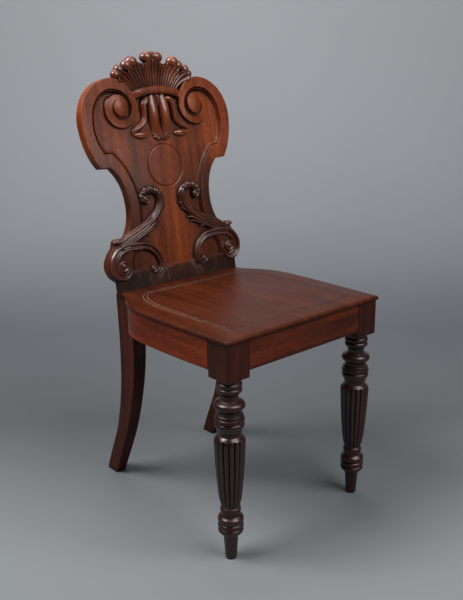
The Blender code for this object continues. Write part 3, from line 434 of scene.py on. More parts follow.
def polishedMahogany(tree, spot, look):
    # Mahogany under French polish (shellac rubbed on by hand): deep red-brown with darker pores and a
    # soft ribbon figure, a clear gloss with slightly wavy reflections, and dark wax with painted shade in the
    # corners
    place = spot["Object"]
    turned = {"Vector": place, "Rotation": grainTurn(look["along"], look["face"]), "Location": look["start"]}
    fields = {}
    for kind, detail in grain["details"].items():
        space = addNode(tree, "ShaderNodeMapping", {**turned, "Scale": grain[kind]}, vector_type="TEXTURE")
        fields[kind] = addNode(tree, "ShaderNodeTexNoise", {
            "Vector": space.outputs["Vector"], "Scale": 1.0, "Detail": detail,
            "Roughness": grain["noiseRough"], "Distortion": grain["distortion"]}).outputs["Fac"]
    cloud = addNode(tree, "ShaderNodeTexNoise", {
        "Vector": place, "Scale": 1 / grain["cloud"], "Detail": 3.0}).outputs["Fac"]
    wave = addNode(tree, "ShaderNodeTexNoise", {
        "Vector": place, "Scale": 1 / grain["wave"], "Detail": 1.0}).outputs["Fac"]
    body, dark, light = look["wood"]
    figure = addNode(tree, "ShaderNodeValToRGB", {"Fac": fields["figure"]},
                     zip(grain["figureRange"], (dark, body, light)))
    streak = addNode(tree, "ShaderNodeValToRGB", {"Fac": fields["streak"]},
                     zip(grain["streakRange"], grain["streakShades"]))
    streaked = addNode(tree, "ShaderNodeMix", {
        0: look["streaks"], 6: figure.outputs["Color"], 7: streak.outputs["Color"]}, **darker)
    pores = addNode(tree, "ShaderNodeValToRGB", {"Fac": fields["pore"]},
                    zip(grain["poreRange"], (1.0, 0.0))).outputs["Color"]
    pored = addNode(tree, "ShaderNodeMix", {0: pores, 6: streaked.outputs[2], 7: look["pore"]}, **layer)
    clouded = addNode(tree, "ShaderNodeValToRGB", {"Fac": cloud},
                      zip(grain["cloudRange"], grain["cloudShades"]))
    aged = addNode(tree, "ShaderNodeMix", {
        0: look["age"], 6: pored.outputs[2], 7: clouded.outputs["Color"]}, **darker)

    # grime on the foot of the back, where the normal points at the sitter
    axes = addNode(tree, "ShaderNodeSeparateXYZ", {"Vector": place}).outputs
    grimeEnds = (look["grimeTop"], look["grimeTop"] - grain["grimeFade"])
    band = addNode(tree, "ShaderNodeMapRange", {
        "Value": axes["Z"], **fromTo(grimeEnds, (0.0, look["grime"]))})
    ahead = addNode(tree, "ShaderNodeVectorMath", {0: spot["Normal"], 1: rakeOut}, operation="DOT_PRODUCT")
    facing = addNode(tree, "ShaderNodeMapRange", {"Value": ahead.outputs["Value"], **fromTo(grain["facing"])})
    banded = addNode(tree, "ShaderNodeMath", {0: band.outputs["Result"], 1: facing.outputs["Result"]},
                     operation="MULTIPLY")
    uneven = addNode(tree, "ShaderNodeMapRange", {
        "Value": wave, **fromTo(grain["grimeRange"], grain["grimeShares"])})
    grime = addNode(tree, "ShaderNodeMath", {0: banded.outputs[0], 1: uneven.outputs["Result"]},
                    operation="MULTIPLY").outputs[0]
    colour = addNode(tree, "ShaderNodeMix", {
        0: grime, 6: aged.outputs[2], 7: look["grimeShade"]}, **layer).outputs[2]
    if look["residue"]:
        # polish dried in fine pale runs over the grime
        space = addNode(tree, "ShaderNodeMapping", {"Vector": place, "Scale": grain["run"]},
                        vector_type="TEXTURE").outputs["Vector"]
        bend = addNode(tree, "ShaderNodeTexNoise", {
            "Vector": space, "Scale": 1 / grain["runBend"], "Detail": 0.0}).outputs["Color"]
        bent = addNode(tree, "ShaderNodeVectorMath", {0: space, 1: bend}, operation="ADD").outputs["Vector"]
        cells = addNode(tree, "ShaderNodeTexVoronoi", {"Vector": bent, "Scale": 1.0},
                        feature="DISTANCE_TO_EDGE")
        thin = addNode(tree, "ShaderNodeMapRange", {
            "Value": cells.outputs["Distance"], **fromTo((grain["runWidth"], 0.0), (0.0, look["residue"]))})
        left = addNode(tree, "ShaderNodeMapRange", {"Value": cloud, **fromTo(grain["runRange"])})
        worn = addNode(tree, "ShaderNodeMath", {0: thin.outputs["Result"], 1: left.outputs["Result"]},
                       operation="MULTIPLY")
        shown = addNode(tree, "ShaderNodeMath", {0: worn.outputs[0], 1: grime}, operation="MULTIPLY")
        colour = addNode(tree, "ShaderNodeMix", {
            0: shown.outputs[0], 6: colour, 7: look["residueShade"]}, **layer).outputs[2]

    # painted shade beside the carvings, where other wood is near, and the wood made darker low down at the
    # sides of the back
    hollow = addNode(tree, "ShaderNodeAmbientOcclusion", {"Distance": grain["hollowReach"]}, samples=8)
    shade = addNode(tree, "ShaderNodeMapRange", {
        "Value": hollow.outputs["AO"], **fromTo(grain["hollowRange"], (0.0, look["shade"]))})
    shadedWood = addNode(tree, "ShaderNodeMix", {
        0: shade.outputs["Result"], 6: colour, 7: look["hollowShade"]}, **layer)
    lowEnds = (look["lowFrom"], look["lowFrom"] - grain["lowFade"])
    low = addNode(tree, "ShaderNodeMapRange", {"Value": axes["Z"], **fromTo(lowEnds, (0.0, look["low"]))})
    out = addNode(tree, "ShaderNodeMath", {0: axes["X"]}, operation="ABSOLUTE")
    side = addNode(tree, "ShaderNodeMapRange", {
        "Value": out.outputs[0], **fromTo(grain["sideRange"], (look["lowMiddle"], 1.0))})
    lower = addNode(tree, "ShaderNodeMath", {0: low.outputs["Result"], 1: side.outputs["Result"]},
                    operation="MULTIPLY")
    lowered = addNode(tree, "ShaderNodeMix", {
        0: lower.outputs[0], 6: shadedWood.outputs[2], 7: look["hollowShade"]}, **layer)
    # dark wax and dust in the inner corners, with painted shade there: the colour is darkened where other
    # wood is very near
    corner = addNode(tree, "ShaderNodeAmbientOcclusion", {"Distance": grain["waxShadeReach"]}, samples=8)
    waxAndShade = addNode(tree, "ShaderNodeValToRGB", {"Fac": corner.outputs["AO"]},
                   zip(grain["waxShadeRange"], (look["waxAndShade"], 0.0))).outputs["Color"]
    waxed = addNode(tree, "ShaderNodeMix", {0: waxAndShade, 6: lowered.outputs[2], 7: look["wax"]}, **layer)

    # roughness of the clean polish, then with dust on it
    ends = [look["rough"] + change for change in grain["roughSpread"]]
    clean = addNode(tree, "ShaderNodeMapRange", {"Value": cloud, **fromTo(grain["roughRange"], ends)})
    dusty = addNode(tree, "ShaderNodeMath", {0: waxAndShade, 1: grain["dirtRough"], 2: clean.outputs["Result"]},
                    operation="MULTIPLY_ADD")
    fine = addNode(tree, "ShaderNodeBump", {
        "Strength": grain["poreStrength"], "Distance": grain["poreDepth"], "Height": pores}, invert=True)
    broad = addNode(tree, "ShaderNodeBump", {
        "Strength": look["wavy"], "Distance": grain["waveDepth"], "Height": wave,
        "Normal": fine.outputs["Normal"]})
    return {
        "Base Color": waxed.outputs[2], "Roughness": dusty.outputs[0], "IOR": grain["ior"],
        "Specular IOR Level": look["shine"], "Coat Weight": look["coat"],
        "Coat Roughness": grain["coatRough"], "Coat IOR": grain["coatIor"],
        "Normal": broad.outputs["Normal"]}


def sawnBeech(tree, spot, look):
    # Beech left bare inside the frame: pale pinkish tan with short flecks and no shine
    place = spot["Object"]
    space = addNode(tree, "ShaderNodeMapping", {"Vector": place, "Scale": look["fleck"]},
                    vector_type="TEXTURE")
    fleck = addNode(tree, "ShaderNodeTexNoise", {
        "Vector": space.outputs["Vector"], "Scale": 1.0, "Detail": 4.0})
    shade = addNode(tree, "ShaderNodeValToRGB", {"Fac": fleck.outputs["Fac"]},
                    zip(look["range"], look["shades"]))
    sawn = addNode(tree, "ShaderNodeTexNoise", {
        "Vector": place, "Scale": 1 / look["sawMark"], "Detail": 2.0})
    marks = addNode(tree, "ShaderNodeBump", {
        "Strength": look["strength"], "Distance": look["depth"], "Height": sawn.outputs["Fac"]})
    return {"Base Color": shade.outputs["Color"], "Roughness": look["rough"], "IOR": grain["ior"],
            "Normal": marks.outputs["Normal"]}


def agedSteel(tree, spot, look):
    # Steel wood screws, dulled by age: dark grey-brown metal with rust in patches
    rust = addNode(tree, "ShaderNodeTexNoise", {
        "Vector": spot["Object"], "Scale": 1 / look["patch"], "Detail": 4.0}).outputs["Fac"]
    shade = addNode(tree, "ShaderNodeValToRGB", {"Fac": rust}, zip(look["range"], look["shades"]))
    rough = addNode(tree, "ShaderNodeMapRange", {"Value": rust, **fromTo(look["range"], look["rough"])})
    return {"Base Color": shade.outputs["Color"], "Metallic": look["metal"],
            "Roughness": rough.outputs["Result"]}


def driedWax(tree, spot, look):
    # Furniture wax dried in a scribed line: chalky pale grey, worn away in places down to dark wood
    patch = addNode(tree, "ShaderNodeTexNoise", {
        "Vector": spot["Object"], "Scale": 1 / look["patch"], "Detail": 4.0}).outputs["Fac"]
    axes = addNode(tree, "ShaderNodeSeparateXYZ", {"Vector": spot["Object"]}).outputs
    left = addNode(tree, "ShaderNodeMath", {0: axes["X"], 1: -look["moreLeft"], 2: patch},
                   operation="MULTIPLY_ADD").outputs[0]
    rear = addNode(tree, "ShaderNodeMath", {0: axes["Y"], 1: look["moreRear"], 2: left},
                   operation="MULTIPLY_ADD").outputs[0]
    shade = addNode(tree, "ShaderNodeValToRGB", {"Fac": rear}, zip(look["range"], look["shades"]))
    return {"Base Color": shade.outputs["Color"], "Roughness": look["rough"], "IOR": look["ior"]}


rakeUp = (0.0, math.sin(rake), math.cos(rake))
rakeOut = (0.0, -math.cos(rake), math.sin(rake))
mahogany = {
    # wax is the dark colour of wax in inner corners and of the painted shade there; hollowShade is the colour
    # of painted shade
    "pore": "#1f0b06", "wax": "#120906", "along": rakeUp, "face": rakeOut, "start": (0.0, 0.0, 0.0),
    "age": 0.5, "waxAndShade": 0.85, "rough": 0.34, "coat": 0.14, "shine": 0.30, "wavy": 0.12, "streaks": 0.42,
    "shade": 0.30, "hollowShade": "#1c0b06", "low": 0.0, "lowFrom": 0.74, "lowMiddle": 0.15, "grime": 0.0,
    "grimeTop": seatHigh.z + 0.037, "grimeShade": "#241a15", "residue": 0.0, "residueShade": "#a39a90",
}
# what several parts share: grain that stands upright, and a thin coat on the frame and seat
upright = {"along": (0, 0, 1), "face": (0, -1, 0)}
plain = {"rough": 0.36, "coat": 0.04, "shine": 0.2}
# what differs on each part; wood is the middle, dark and light colour of its figure
woods = {
    "back": {"wood": ("#863710", "#612806", "#a04c1a"), "grime": 0.88, "residue": 0.26, "waxAndShade": 0.94,
             "shine": 0.26, "coat": 0.10, "shade": 0.62, "low": 0.70},
    "carving": {"wood": ("#562512", "#38160a", "#70361b"), "rough": 0.31, "waxAndShade": 0.97, "coat": 0.36,
                "shine": 0.5, "start": (0.3, 0.1, 0.2)},
    "crest": {"wood": ("#7c3717", "#50200b", "#985024"), "rough": 0.27, "waxAndShade": 0.97, "coat": 0.45,
              "shine": 0.5, "start": (0.7, 0.3, 0.1)},
    "pendant": {"wood": ("#863810", "#64280a", "#99481b"), "rough": 0.30, "waxAndShade": 0.97, "coat": 0.40,
                "shine": 0.45, "start": (0.6, 0.1, 0.5)},
    "seat": {**plain, "wood": ("#4a1c07", "#3d1504", "#57240b"), "along": (0, 1, 0), "face": (0, 0, 1),
             "start": (0.2, 0.6, 0.4), "shine": 0.14, "wavy": 0.06, "streaks": 0.3},
    "rail": {**plain, "wood": ("#551d09", "#3c1406", "#6d2b10"), "along": (1, 0, 0), "face": (0, -1, 0),
             "start": (0.9, 0.4, 0.3), "label": "rails"},
    "sideRail": {**plain, "wood": ("#742a0c", "#541d08", "#903c14"), "along": (0, 1, 0), "face": (1, 0, 0),
                 "start": (0.4, 0.2, 0.8), "label": "side rails"},
    "block": {**plain, **upright, "wood": ("#3a1307", "#2e0f06", "#47190b"), "start": (0.1, 0.8, 0.2),
              "rough": 0.34, "streaks": 0.3, "label": "leg blocks"},
    "leg": {**upright, "wood": ("#321208", "#220b05", "#40190c"), "start": (0.5, 0.8, 0.2),
            "rough": 0.30, "coat": 0.22, "shine": 0.40, "label": "legs"},
    "rearLeg": {**upright, "wood": ("#461a0d", "#301008", "#592613"), "start": (0.8, 0.5, 0.6),
                "rough": 0.36, "coat": 0.03, "shine": 0.16, "label": "rear legs"},
}
finishes = {part: newMaterial("French-polished mahogany, " + look.get("label", part), polishedMahogany,
                              {**mahogany, **look}) for part, look in woods.items()}
finishes["band"] = finishes["back"]  # the arched band is of the board's wood
finishes["beech"] = newMaterial("Sawn beech", sawnBeech, {
    "fleck": (0.03, 0.004, 0.004), "sawMark": 0.0025, "range": (0.35, 0.65), "shades": ("#9a7452", "#bd9870"),
    "rough": 0.78, "strength": 0.4, "depth": 0.0004})
finishes["steel"] = newMaterial("Aged steel", agedSteel, {
    "patch": 0.003, "range": (0.45, 0.62), "shades": ("#5c5854", "#4a3226"), "rough": (0.38, 0.75),
    "metal": 0.9})
finishes["wax"] = newMaterial("Dried furniture wax", driedWax, {
    "patch": 0.012, "moreLeft": 0.9, "moreRear": 0.6, "range": (0.42, 0.66), "shades": ("#1a0a05", "#74675e"),
    "rough": 0.7, "ior": 1.45})
print("stage: finishes ready")


# Back: shaped board with its sunk panel, beads and volutes

back = {
    "halfWidth": 194.0, "height": 486.0, "thickness": 19.0, "footHalfWidth": 160.0, "footHeight": 37.0,
    "ground": 4.5, "upperGround": 8.5, "fall": (285.0, 400.0), "crestSeat": 397.0,
    "volute": (96.0, 372.0), "voluteRadius": 41.0, "eyeLift": 4.6,
    "roundel": (249.0, 45.0), "roundelGroove": 2.2, "roundelDepth": 1.4,
    "arris": 1.5, "shoulderShare": 0.3, "grid": 0.8, "field": (0.0, 197.0, -13.0, 436.0),
    "pastMiddle": -9.0,      # the panel's outline is closed this far past the middle
    # half widths searched beside each line, mm: walls and border, roll, channel's floor, rim of the grid
    "wallReach": 9.0, "rollReach": 16.0, "climbReach": 20.0, "rimReach": 4.0, "wallRound": 1.5,
    # width of the roll's wall in mm at each angle of its spiral
    "rollSpread": [(300, 1.2), (350, 1.3), (372, 1.6), (395, 2.2), (430, 3.6), (455, 4.6), (485, 3), (540, 2),
                   (640, 1.8), (780, 3)],
    "beadSize": [(0, 1), (0.62, 1), (1, 0.45)],
    # share of the channel's depth along the spiral, inside this radius in mm
    "climb": [(0.3, 1), (0.45, 0.8), (0.65, 0.55), (0.87, 0.42), (1, 0.3)], "climbRadius": 38.0,
    "rimGapShare": 0.55, "lightenShare": 0.45,
    "footEnd": -12.0, "footBreak": 2.0,  # the foot's sides run from here to this far under the scroll, mm
    "topGap": 0.01,                      # keeps the outline's two ends apart at the top
    "wallEnd": (1.0, 12.0),              # where the sunk ground stops, in and up from the ear's end
    "eyeFlat": 2.0, "eyeFall": 0.8, "roundelPower": 1.5,
}
footScroll = [(0.825, 0.041), (0.861, 0.051), (0.902, 0.068), (0.93, 0.091), (0.938, 0.115), (0.92, 0.142),
              (0.881, 0.167), (0.83, 0.189)]
knobOutline = [(0.804, 0.218), (0.758, 0.225), (0.706, 0.224)]
neckOutline = [(0.67, 0.22), (0.608, 0.261), (0.575, 0.302), (0.562, 0.34), (0.564, 0.379), (0.577, 0.416),
               (0.608, 0.455), (0.66, 0.492), (0.722, 0.521)]
earOutline = [(0.851, 0.523), (0.897, 0.549), (0.938, 0.584), (0.972, 0.626), (0.992, 0.669), (1, 0.712),
              (0.988, 0.753), (0.953, 0.794), (0.896, 0.83), (0.82, 0.859), (0.729, 0.88), (0.629, 0.891),
              (0.557, 0.892), (0.474, 0.885), (0.402, 0.869), (0.343, 0.844), (0.302, 0.813)]
panelLower = [(0.635, 0.076), (0.62, 0.125), (0.57, 0.175), (0.51, 0.216), (0.466, 0.257), (0.443, 0.294),
              (0.433, 0.333), (0.438, 0.372), (0.454, 0.412), (0.485, 0.457), (0.531, 0.5), (0.598, 0.543),
              (0.68, 0.579)]
panelUpper = [(0.778, 0.583), (0.825, 0.617), (0.856, 0.658), (0.869, 0.695)]
# angle in degrees, then radius as a share of the volute radius
voluteOuter = [
    (180, 1), (225, 0.95), (270, 0.97), (315, 0.97), (350, 0.92), (387, 0.8), (417, 0.73), (450, 0.65),
    (480, 0.56), (510, 0.475), (540, 0.42), (580, 0.4), (630, 0.405), (680, 0.41), (720, 0.415), (755, 0.42),
    (775, 0.43), (785, 0.45)
]
voluteInner = [(-8, 1.71), (9, 1.54), (27, 1.37), (47, 1.21), (68, 1.04), (90, 0.9), (122, 0.76), (152, 0.69),
               (184, 0.66), (213, 0.65), (238, 0.634), (268, 0.61), (298, 0.6), (329, 0.568), (360, 0.537),
               (390, 0.5), (420, 0.475)]
# share of the ground's depth at each distance in mm from the border: quirk, bead, then ground
beadProfile = [(0, 0), (0.35, 0.1), (1, 0.58), (1.5, 0.66), (2, 0.5), (2.6, 0.2), (3.4, 0.08), (4.2, 0.2),
               (4.9, 0.52), (5.8, 0.84), (7.6, 1)]


def onBack(rows, steps=4):
    sizes = (back["halfWidth"], back["height"])
    return [tuple(point) for point in curve([(x * sizes[0], y * sizes[1]) for x, y in rows], steps)]


def onVolute(rows):
    spots = []
    for angle, share in curve(rows, 5):
        radius = share * back["voluteRadius"]
        spots.append((back["volute"][0] + radius * math.cos(math.radians(angle)),
                      back["volute"][1] + radius * math.sin(math.radians(angle))))
    return spots


def backOutline():
    foot = footScroll[0][1] * back["height"] - back["footBreak"]
    half = [(back["footHalfWidth"], back["footEnd"]), (back["footHalfWidth"], foot)]
    half += onBack(footScroll) + onBack(knobOutline) + onBack(neckOutline, 5) + onBack(earOutline, 5)
    half += [(half[-1][0] / 2, (half[-1][1] + back["crestSeat"]) / 2), (back["topGap"], back["crestSeat"])]
    return mirroredLoop(half)


def backRelief():
    field = newField(*back["field"], back["grid"])
    x, y = field["x"], field["y"]
    ground = -np.interp(y, back["fall"], (back["ground"], back["upperGround"]))
    outer, inner = onVolute(voluteOuter), onVolute(voluteInner)
    border = onBack(panelLower) + onBack(panelUpper) + inner
    past, foot = back["pastMiddle"], back["footHeight"]
    wall = [(past, foot), (0.0, foot)] + border + outer[::-1]
    (endX, endY), (inwards, up) = earOutline[-1], back["wallEnd"]
    wall += [(endX * back["halfWidth"] - inwards, endY * back["height"] + up)]
    sunk = insideLoop(x, y, np.array(wall + [(past, wall[-1][1])]))

    # plain walls beside the rolls; the roll's outer wall dies away where it runs into the ground
    depth = 1.0
    reach = back["wallReach"]
    for line in (wall[:3], [wall[-1], (past, wall[-1][1])]):
        edge = alongPath(field, line, reach)[0]
        depth = np.minimum(depth, smoothStep(np.abs(edge) * reach, 0.0, back["wallRound"]))
    roll, turned = alongPath(field, outer, back["rollReach"])
    angle = np.interp(turned, np.linspace(0, 1, len(voluteOuter)), [row[0] for row in voluteOuter])
    spread = readOff(angle, back["rollSpread"])
    depth = np.minimum(depth, smoothStep(np.abs(roll) * back["rollReach"], 0.0, spread))
    across, along = alongPath(field, border, reach)
    beadDepth = readOff(np.abs(across) * reach / readOff(along, back["beadSize"]), beadProfile)
    depth = np.where(sunk, np.minimum(depth, beadDepth), 0.0)

    # the channel's floor climbs to the eye
    centre = np.hypot(x - back["volute"][0], y - back["volute"][1])
    fallen = smoothStep(centre, back["eyeFlat"], back["voluteRadius"]) ** back["eyeFall"]
    lift = back["eyeLift"] * (1 - fallen)
    inward = alongPath(field, inner, back["climbReach"])[1]
    climbing = (centre < back["climbRadius"]) & (inward > back["climb"][0][0])
    heights = lift + (ground - lift) * depth * np.where(climbing, readOff(inward, back["climb"]), 1.0)

    roundel = np.abs(np.hypot(x, y - back["roundel"][0]) - back["roundel"][1]) / back["roundelGroove"]
    heights -= back["roundelDepth"] * np.cos(np.clip(roundel, 0, 1) * math.pi / 2) ** back["roundelPower"]
    return field, softened(heights)


def buildBack():
    field, heights = bothSides(*backRelief())
    outline = backOutline()
    arris, thickness, step, reach = back["arris"], back["thickness"], back["grid"], back["rimReach"]
    ring = insetLoop(outline, arris)
    edge = alongPath(field, np.vstack([ring, ring[:1]]), reach)[0]
    kept = insideLoop(field["x"], field["y"], ring) & (np.abs(edge) * reach > back["rimGapShare"] * step)
    quads, used, whole = gridFaces(kept)
    inner = np.column_stack([field["x"][used], field["y"][used], heights[used]])

    def uncovered(u, v):
        column = np.clip(((u - field["left"]) / step).astype(int), 0, whole.shape[1] - 1)
        row = np.clip(((v - field["low"]) / step).astype(int), 0, whole.shape[0] - 1)
        return insideLoop(u, v, ring) & ~whole[row, column]

    # fills the strip between the grid and the outline
    rim = openEdges(quads)
    corners = sorted({corner for pair in rim for corner in pair})
    count, first = len(ring), len(inner) + len(ring)
    place = {corner: count + index for index, corner in enumerate(corners)}
    limits = closedLimits(count) + [(place[a], place[b]) for a, b in rim]
    spots, sources, strips = fillBetween(np.vstack([ring, inner[corners, :2]]), limits, uncovered)
    known = list(range(len(inner), first)) + corners
    extra = [index for index, behind in enumerate(sources) if not behind]
    lookup = {index: first + offset for offset, index in enumerate(extra)}
    lookup.update({index: known[behind[-1]] for index, behind in enumerate(sources) if behind})
    faces = quads.tolist() + [tuple(lookup[corner] for corner in face) for face in strips]
    levels = heightAt(field, heights, ring)
    points = [inner, np.column_stack([ring, levels])]
    if extra:
        points.append(np.column_stack([spots[extra], heightAt(field, heights, spots[extra])]))

    # arris, side and back
    shoulder = arris * back["shoulderShare"]
    points += [np.column_stack([insetLoop(outline, shoulder), levels - shoulder]),
               np.column_stack([outline, levels - arris]),
               np.column_stack([outline, np.full(count, arris - thickness)]),
               np.column_stack([ring, np.full(count, -thickness)])]
    above, below = len(inner), first + len(extra)
    for _ in range(4):
        faces += [tuple(reversed(face)) for face in bandFaces(above, below, count)]
        above, below = below, below + count
    faces.append(tuple(reversed(range(above, above + count))))
    points = np.vstack(points)
    lowest = (-chair["seatThickness"] - points[:, 2] * math.sin(rake)) / math.cos(rake)
    points[:, 1] = np.maximum(points[:, 1], lowest)
    board = newPiece("back_board_carved", points, faces, "back", backPlace, ["back_board"])
    lighten(board, "back", back["lightenShare"])


buildBack()
print("stage: back carved")


# Scroll carvings: C-scroll, acanthus leaf, hooked curl and knob on each side

# each row is x, y, half width and height of the crest over the border, in mm
scroll = {
    "field": (8.0, 186.0, 10.0, 216.0), "grid": 0.6, "floor": -4.9, "lightenShare": 0.5,
    "fingerSkirt": 2.0, "knobSkirt": 6.0,
    "cScroll": [
        (136, 66, 3, 0.5), (129, 58, 3.4, 1.2), (127.5, 47, 4.2, 2.2), (132.5, 37.5, 5.8, 3.2),
        (140, 30.5, 7.8, 4.4), (150, 30, 9.8, 5.4), (160, 35.5, 11, 6), (166.5, 48, 12.2, 6.4),
        (165, 64, 11.8, 6.4), (156, 78, 10.6, 6.2), (143, 86, 10, 6), (126, 88.5, 9.6, 5.8),
        (106, 88, 9.2, 5.5), (84, 86, 8.8, 5), (66, 77, 8.2, 4.6), (54, 62, 7.4, 4.2), (48.5, 46, 6.6, 4),
        (51, 34, 5.8, 3.8), (59, 27.7, 4.6, 3.4), (67, 28.2, 3.6, 2.8)
    ],
    "leaf": [(158, 84, 4, 3.4), (147, 97, 7, 4.6), (121, 109, 9.5, 5.2), (94, 119, 10.5, 4.6),
             (66, 131, 10, 4), (42, 147, 8, 3.2), (26, 160, 5, 2.2), (18, 167, 1.4, 0.4)],
    "fingers": [
        [(150, 98, 3.2, 6.2), (121, 112, 4, 6.6), (92, 122.5, 4.4, 6.2), (62, 137.5, 4.2, 5.6),
         (42, 152, 3.6, 4.8), (26, 163, 2.4, 3.2), (17.8, 168, 0.7, 0.6)],
        [(148, 93, 3, 6.2), (120, 106, 3.8, 6.4), (92, 116, 4.2, 5.6), (66, 128, 4, 4.6),
         (46, 141, 3.2, 3.6), (30, 151, 2, 2), (24, 155, 0.7, 0)],
        [(146, 90, 2.8, 5.8), (120, 101.5, 3.4, 5.8), (95, 110, 3.8, 4.8), (70, 120, 3.8, 3.8),
         (52, 129.5, 3.2, 2.8), (42, 132, 2, 1.2), (35, 131.5, 0.7, -0.6)],
        [(143, 88, 2.6, 5.4), (119, 97.5, 3.2, 5.2), (96, 105, 3.6, 4.2), (76, 113, 3.4, 3),
         (60, 119.5, 2.8, 2), (50.5, 122.5, 1.8, 0.6), (43.6, 121.5, 0.7, -1)],
        [(140, 86, 2.4, 5), (119, 94, 3, 4.6), (102, 100, 3.2, 3.4), (88, 105.5, 2.8, 2.2),
         (78, 108, 2, 1), (67.5, 107, 0.7, -0.8)],
        [
            (137, 84, 2.2, 4.6), (122, 90, 2.6, 4), (112, 95, 2.4, 2.8), (105, 97.5, 1.8, 1.4),
            (98, 97, 0.7, -0.6)
        ],
        [
            (128, 113, 2.2, 4.2), (112, 121, 2.8, 4), (94, 128, 2.6, 3), (82, 134, 1.6, 1.4),
            (75, 139, 0.7, -0.8)
        ],
        [(86, 129, 2.2, 3.6), (70, 139, 2.6, 3.2), (56, 151, 2, 1.8), (49, 159, 0.7, -0.6)],
    ],
    "curl": [
        (82, 118, 4, 3.6), (62, 133, 7.5, 5.2), (44, 150, 9.6, 6.2), (33, 166, 10.6, 6.8),
        (29, 180, 10.6, 7.4), (34, 193, 10.2, 7.8), (48, 200.5, 10, 7.8), (62, 200, 9.2, 7.4),
        (73, 194, 7.6, 6.6), (77.5, 185, 5.8, 5.6), (75, 177, 4.2, 4.6)
    ],
    # how the curl is cut across: start, count and depth; and its middle groove: share, depth and fade
    "curlRipple": (0.50, 6, 0.26), "curlGroove": (0.16, 1.1, 4),
    # big, curl's and small eye: x, y, radius and how much higher they stand, mm
    "eyes": [(145.5, 51.5, 12.6, 0), (66.5, 181, 8.6, 0.4), (70, 34.5, 8.2, -1.8)],
    "knob": [(142.5, 102, 4.6, 5.4), (147, 102.6, 6.4, 7.2), (152, 103, 6.8, 7.8), (156.5, 103.2, 6, 6.8),
             (159, 103.2, 5, 5.6)],
    "knobGrooves": (147.5, 154.0), "knobGroove": {"halfWidth": 1.4, "reach": 9.0, "depth": 1.6, "above": 3.0},
}
roundSection = [
    (-1, 0), (-0.85, 0.5), (-0.6, 0.8), (-0.3, 0.95), (0, 1), (0.3, 0.95), (0.6, 0.8), (0.85, 0.5), (1, 0)
]
ridgeSection = [(-1, 0.35), (-0.7, 0.72), (-0.35, 0.95), (0, 1), (0.35, 0.95), (0.7, 0.72), (1, 0.35)]
# C-scroll from its outer to its inner side: rounded roll, hollow and a thinner roll
scrollSection = [(-1, 0), (-0.93, 0.6), (-0.75, 0.93), (-0.52, 1), (-0.3, 0.88), (-0.16, 0.62), (0, 0.52),
                 (0.2, 0.6), (0.34, 0.74), (0.56, 0.86), (0.78, 0.8), (0.93, 0.5), (1, 0)]
eyeShape = [
    (0, 7.4), (0.22, 7.2), (0.34, 6.2), (0.4, 4.4), (0.5, 3.8), (0.62, 4.8), (0.78, 5.8), (0.92, 5), (1, 3)
]


def scrollHeights():
    field = newField(*scroll["field"], scroll["grid"])
    heights = np.full(field["x"].shape, relief["bare"])
    low = scroll["floor"]
    carve(field, heights, scroll["curl"], roundSection, low, ripple=scroll["curlRipple"])
    heights = scored(field, heights, scroll["curl"][1:6], *scroll["curlGroove"])
    carve(field, heights, scroll["leaf"], roundSection, low)
    for finger in scroll["fingers"]:
        carve(field, heights, finger, ridgeSection, low, scroll["fingerSkirt"])
    carve(field, heights, scroll["cScroll"], scrollSection, low)
    carve(field, heights, scroll["knob"], roundSection, low, scroll["knobSkirt"])
    dented = scroll["knobGroove"]
    for middle in scroll["knobGrooves"]:
        near = np.abs(field["y"] - scroll["knob"][2][1]) < dented["reach"]
        dent = np.clip(1 - np.abs(field["x"] - middle) / dented["halfWidth"], 0, 1) * near * dented["depth"]
        heights = np.where(heights > dented["above"], heights - dent, heights)
    for x, y, radius, lift in scroll["eyes"]:
        boss(field, heights, (x, y), radius, [(share, top + lift) for share, top in eyeShape])
    return field, softened(heights)


def buildScrolls():
    points, faces = reliefPatch(*scrollHeights(), scroll["floor"])
    for carving in onEachSide("acanthus_scroll", "scroll_carving", points, faces, "carving", backPlace):
        lighten(carving, "carving", scroll["lightenShare"])


buildScrolls()
print("stage: scroll carvings ready")


# Pendant under the crest: two drooping leaves, their rolled ends and a tendril on each side

pendant = {
    "field": (-6.0, 84.0, 292.0, 402.0), "grid": 0.6, "floor": -9.0, "lightenShare": 0.5,
    "tendrilGroove": (0.22, 1.6, 5), "budGroove": 1.8, "foldRipple": (0.0, 4, 0.42),
    "budLine": [(40, 314, 0.9, 0), (52, 312.8, 1.3, 0), (65, 314.5, 0.9, 0)],
    "lobe": [(13.5, 394, 10, 0.6), (14.4, 381, 13.4, 3.4), (14.8, 366, 14.6, 5.8), (15, 352, 14.8, 6.2),
             (15, 338, 14.4, 4.2), (14.6, 326, 13.2, 0.4), (13.4, 318, 10.8, -3)],
    "fold": [
        (2.2, 306.5, 3.2, -1), (7, 305.5, 5.6, 0.6), (13, 308, 7, 1.2), (19, 313.5, 5.6, 0.2),
        (23, 319, 3, -2)
    ],
    "tendril": [
        (23, 389, 7, 2.4), (31, 387, 8.6, 4.6), (38, 377, 8.4, 5), (38.4, 361, 7.2, 4), (41, 346, 7.4, 3.4),
        (51, 336, 8.2, 3.2), (63, 330, 7.8, 2.6), (72, 323, 5.6, 0.8), (71, 316, 3.6, -1.4)
    ],
    "bud": [
        (33, 316, 3.6, -2.6), (41, 315.6, 7.6, 0.6), (52, 315.6, 9.4, 2.2), (63, 316, 7.6, 0.8),
        (72, 317, 3.2, -2.4)
    ],
    "pleat": [(0, 394, 8, 1.2), (0, 381, 4.6, 0.8), (0, 371, 1.4, -1)],
}


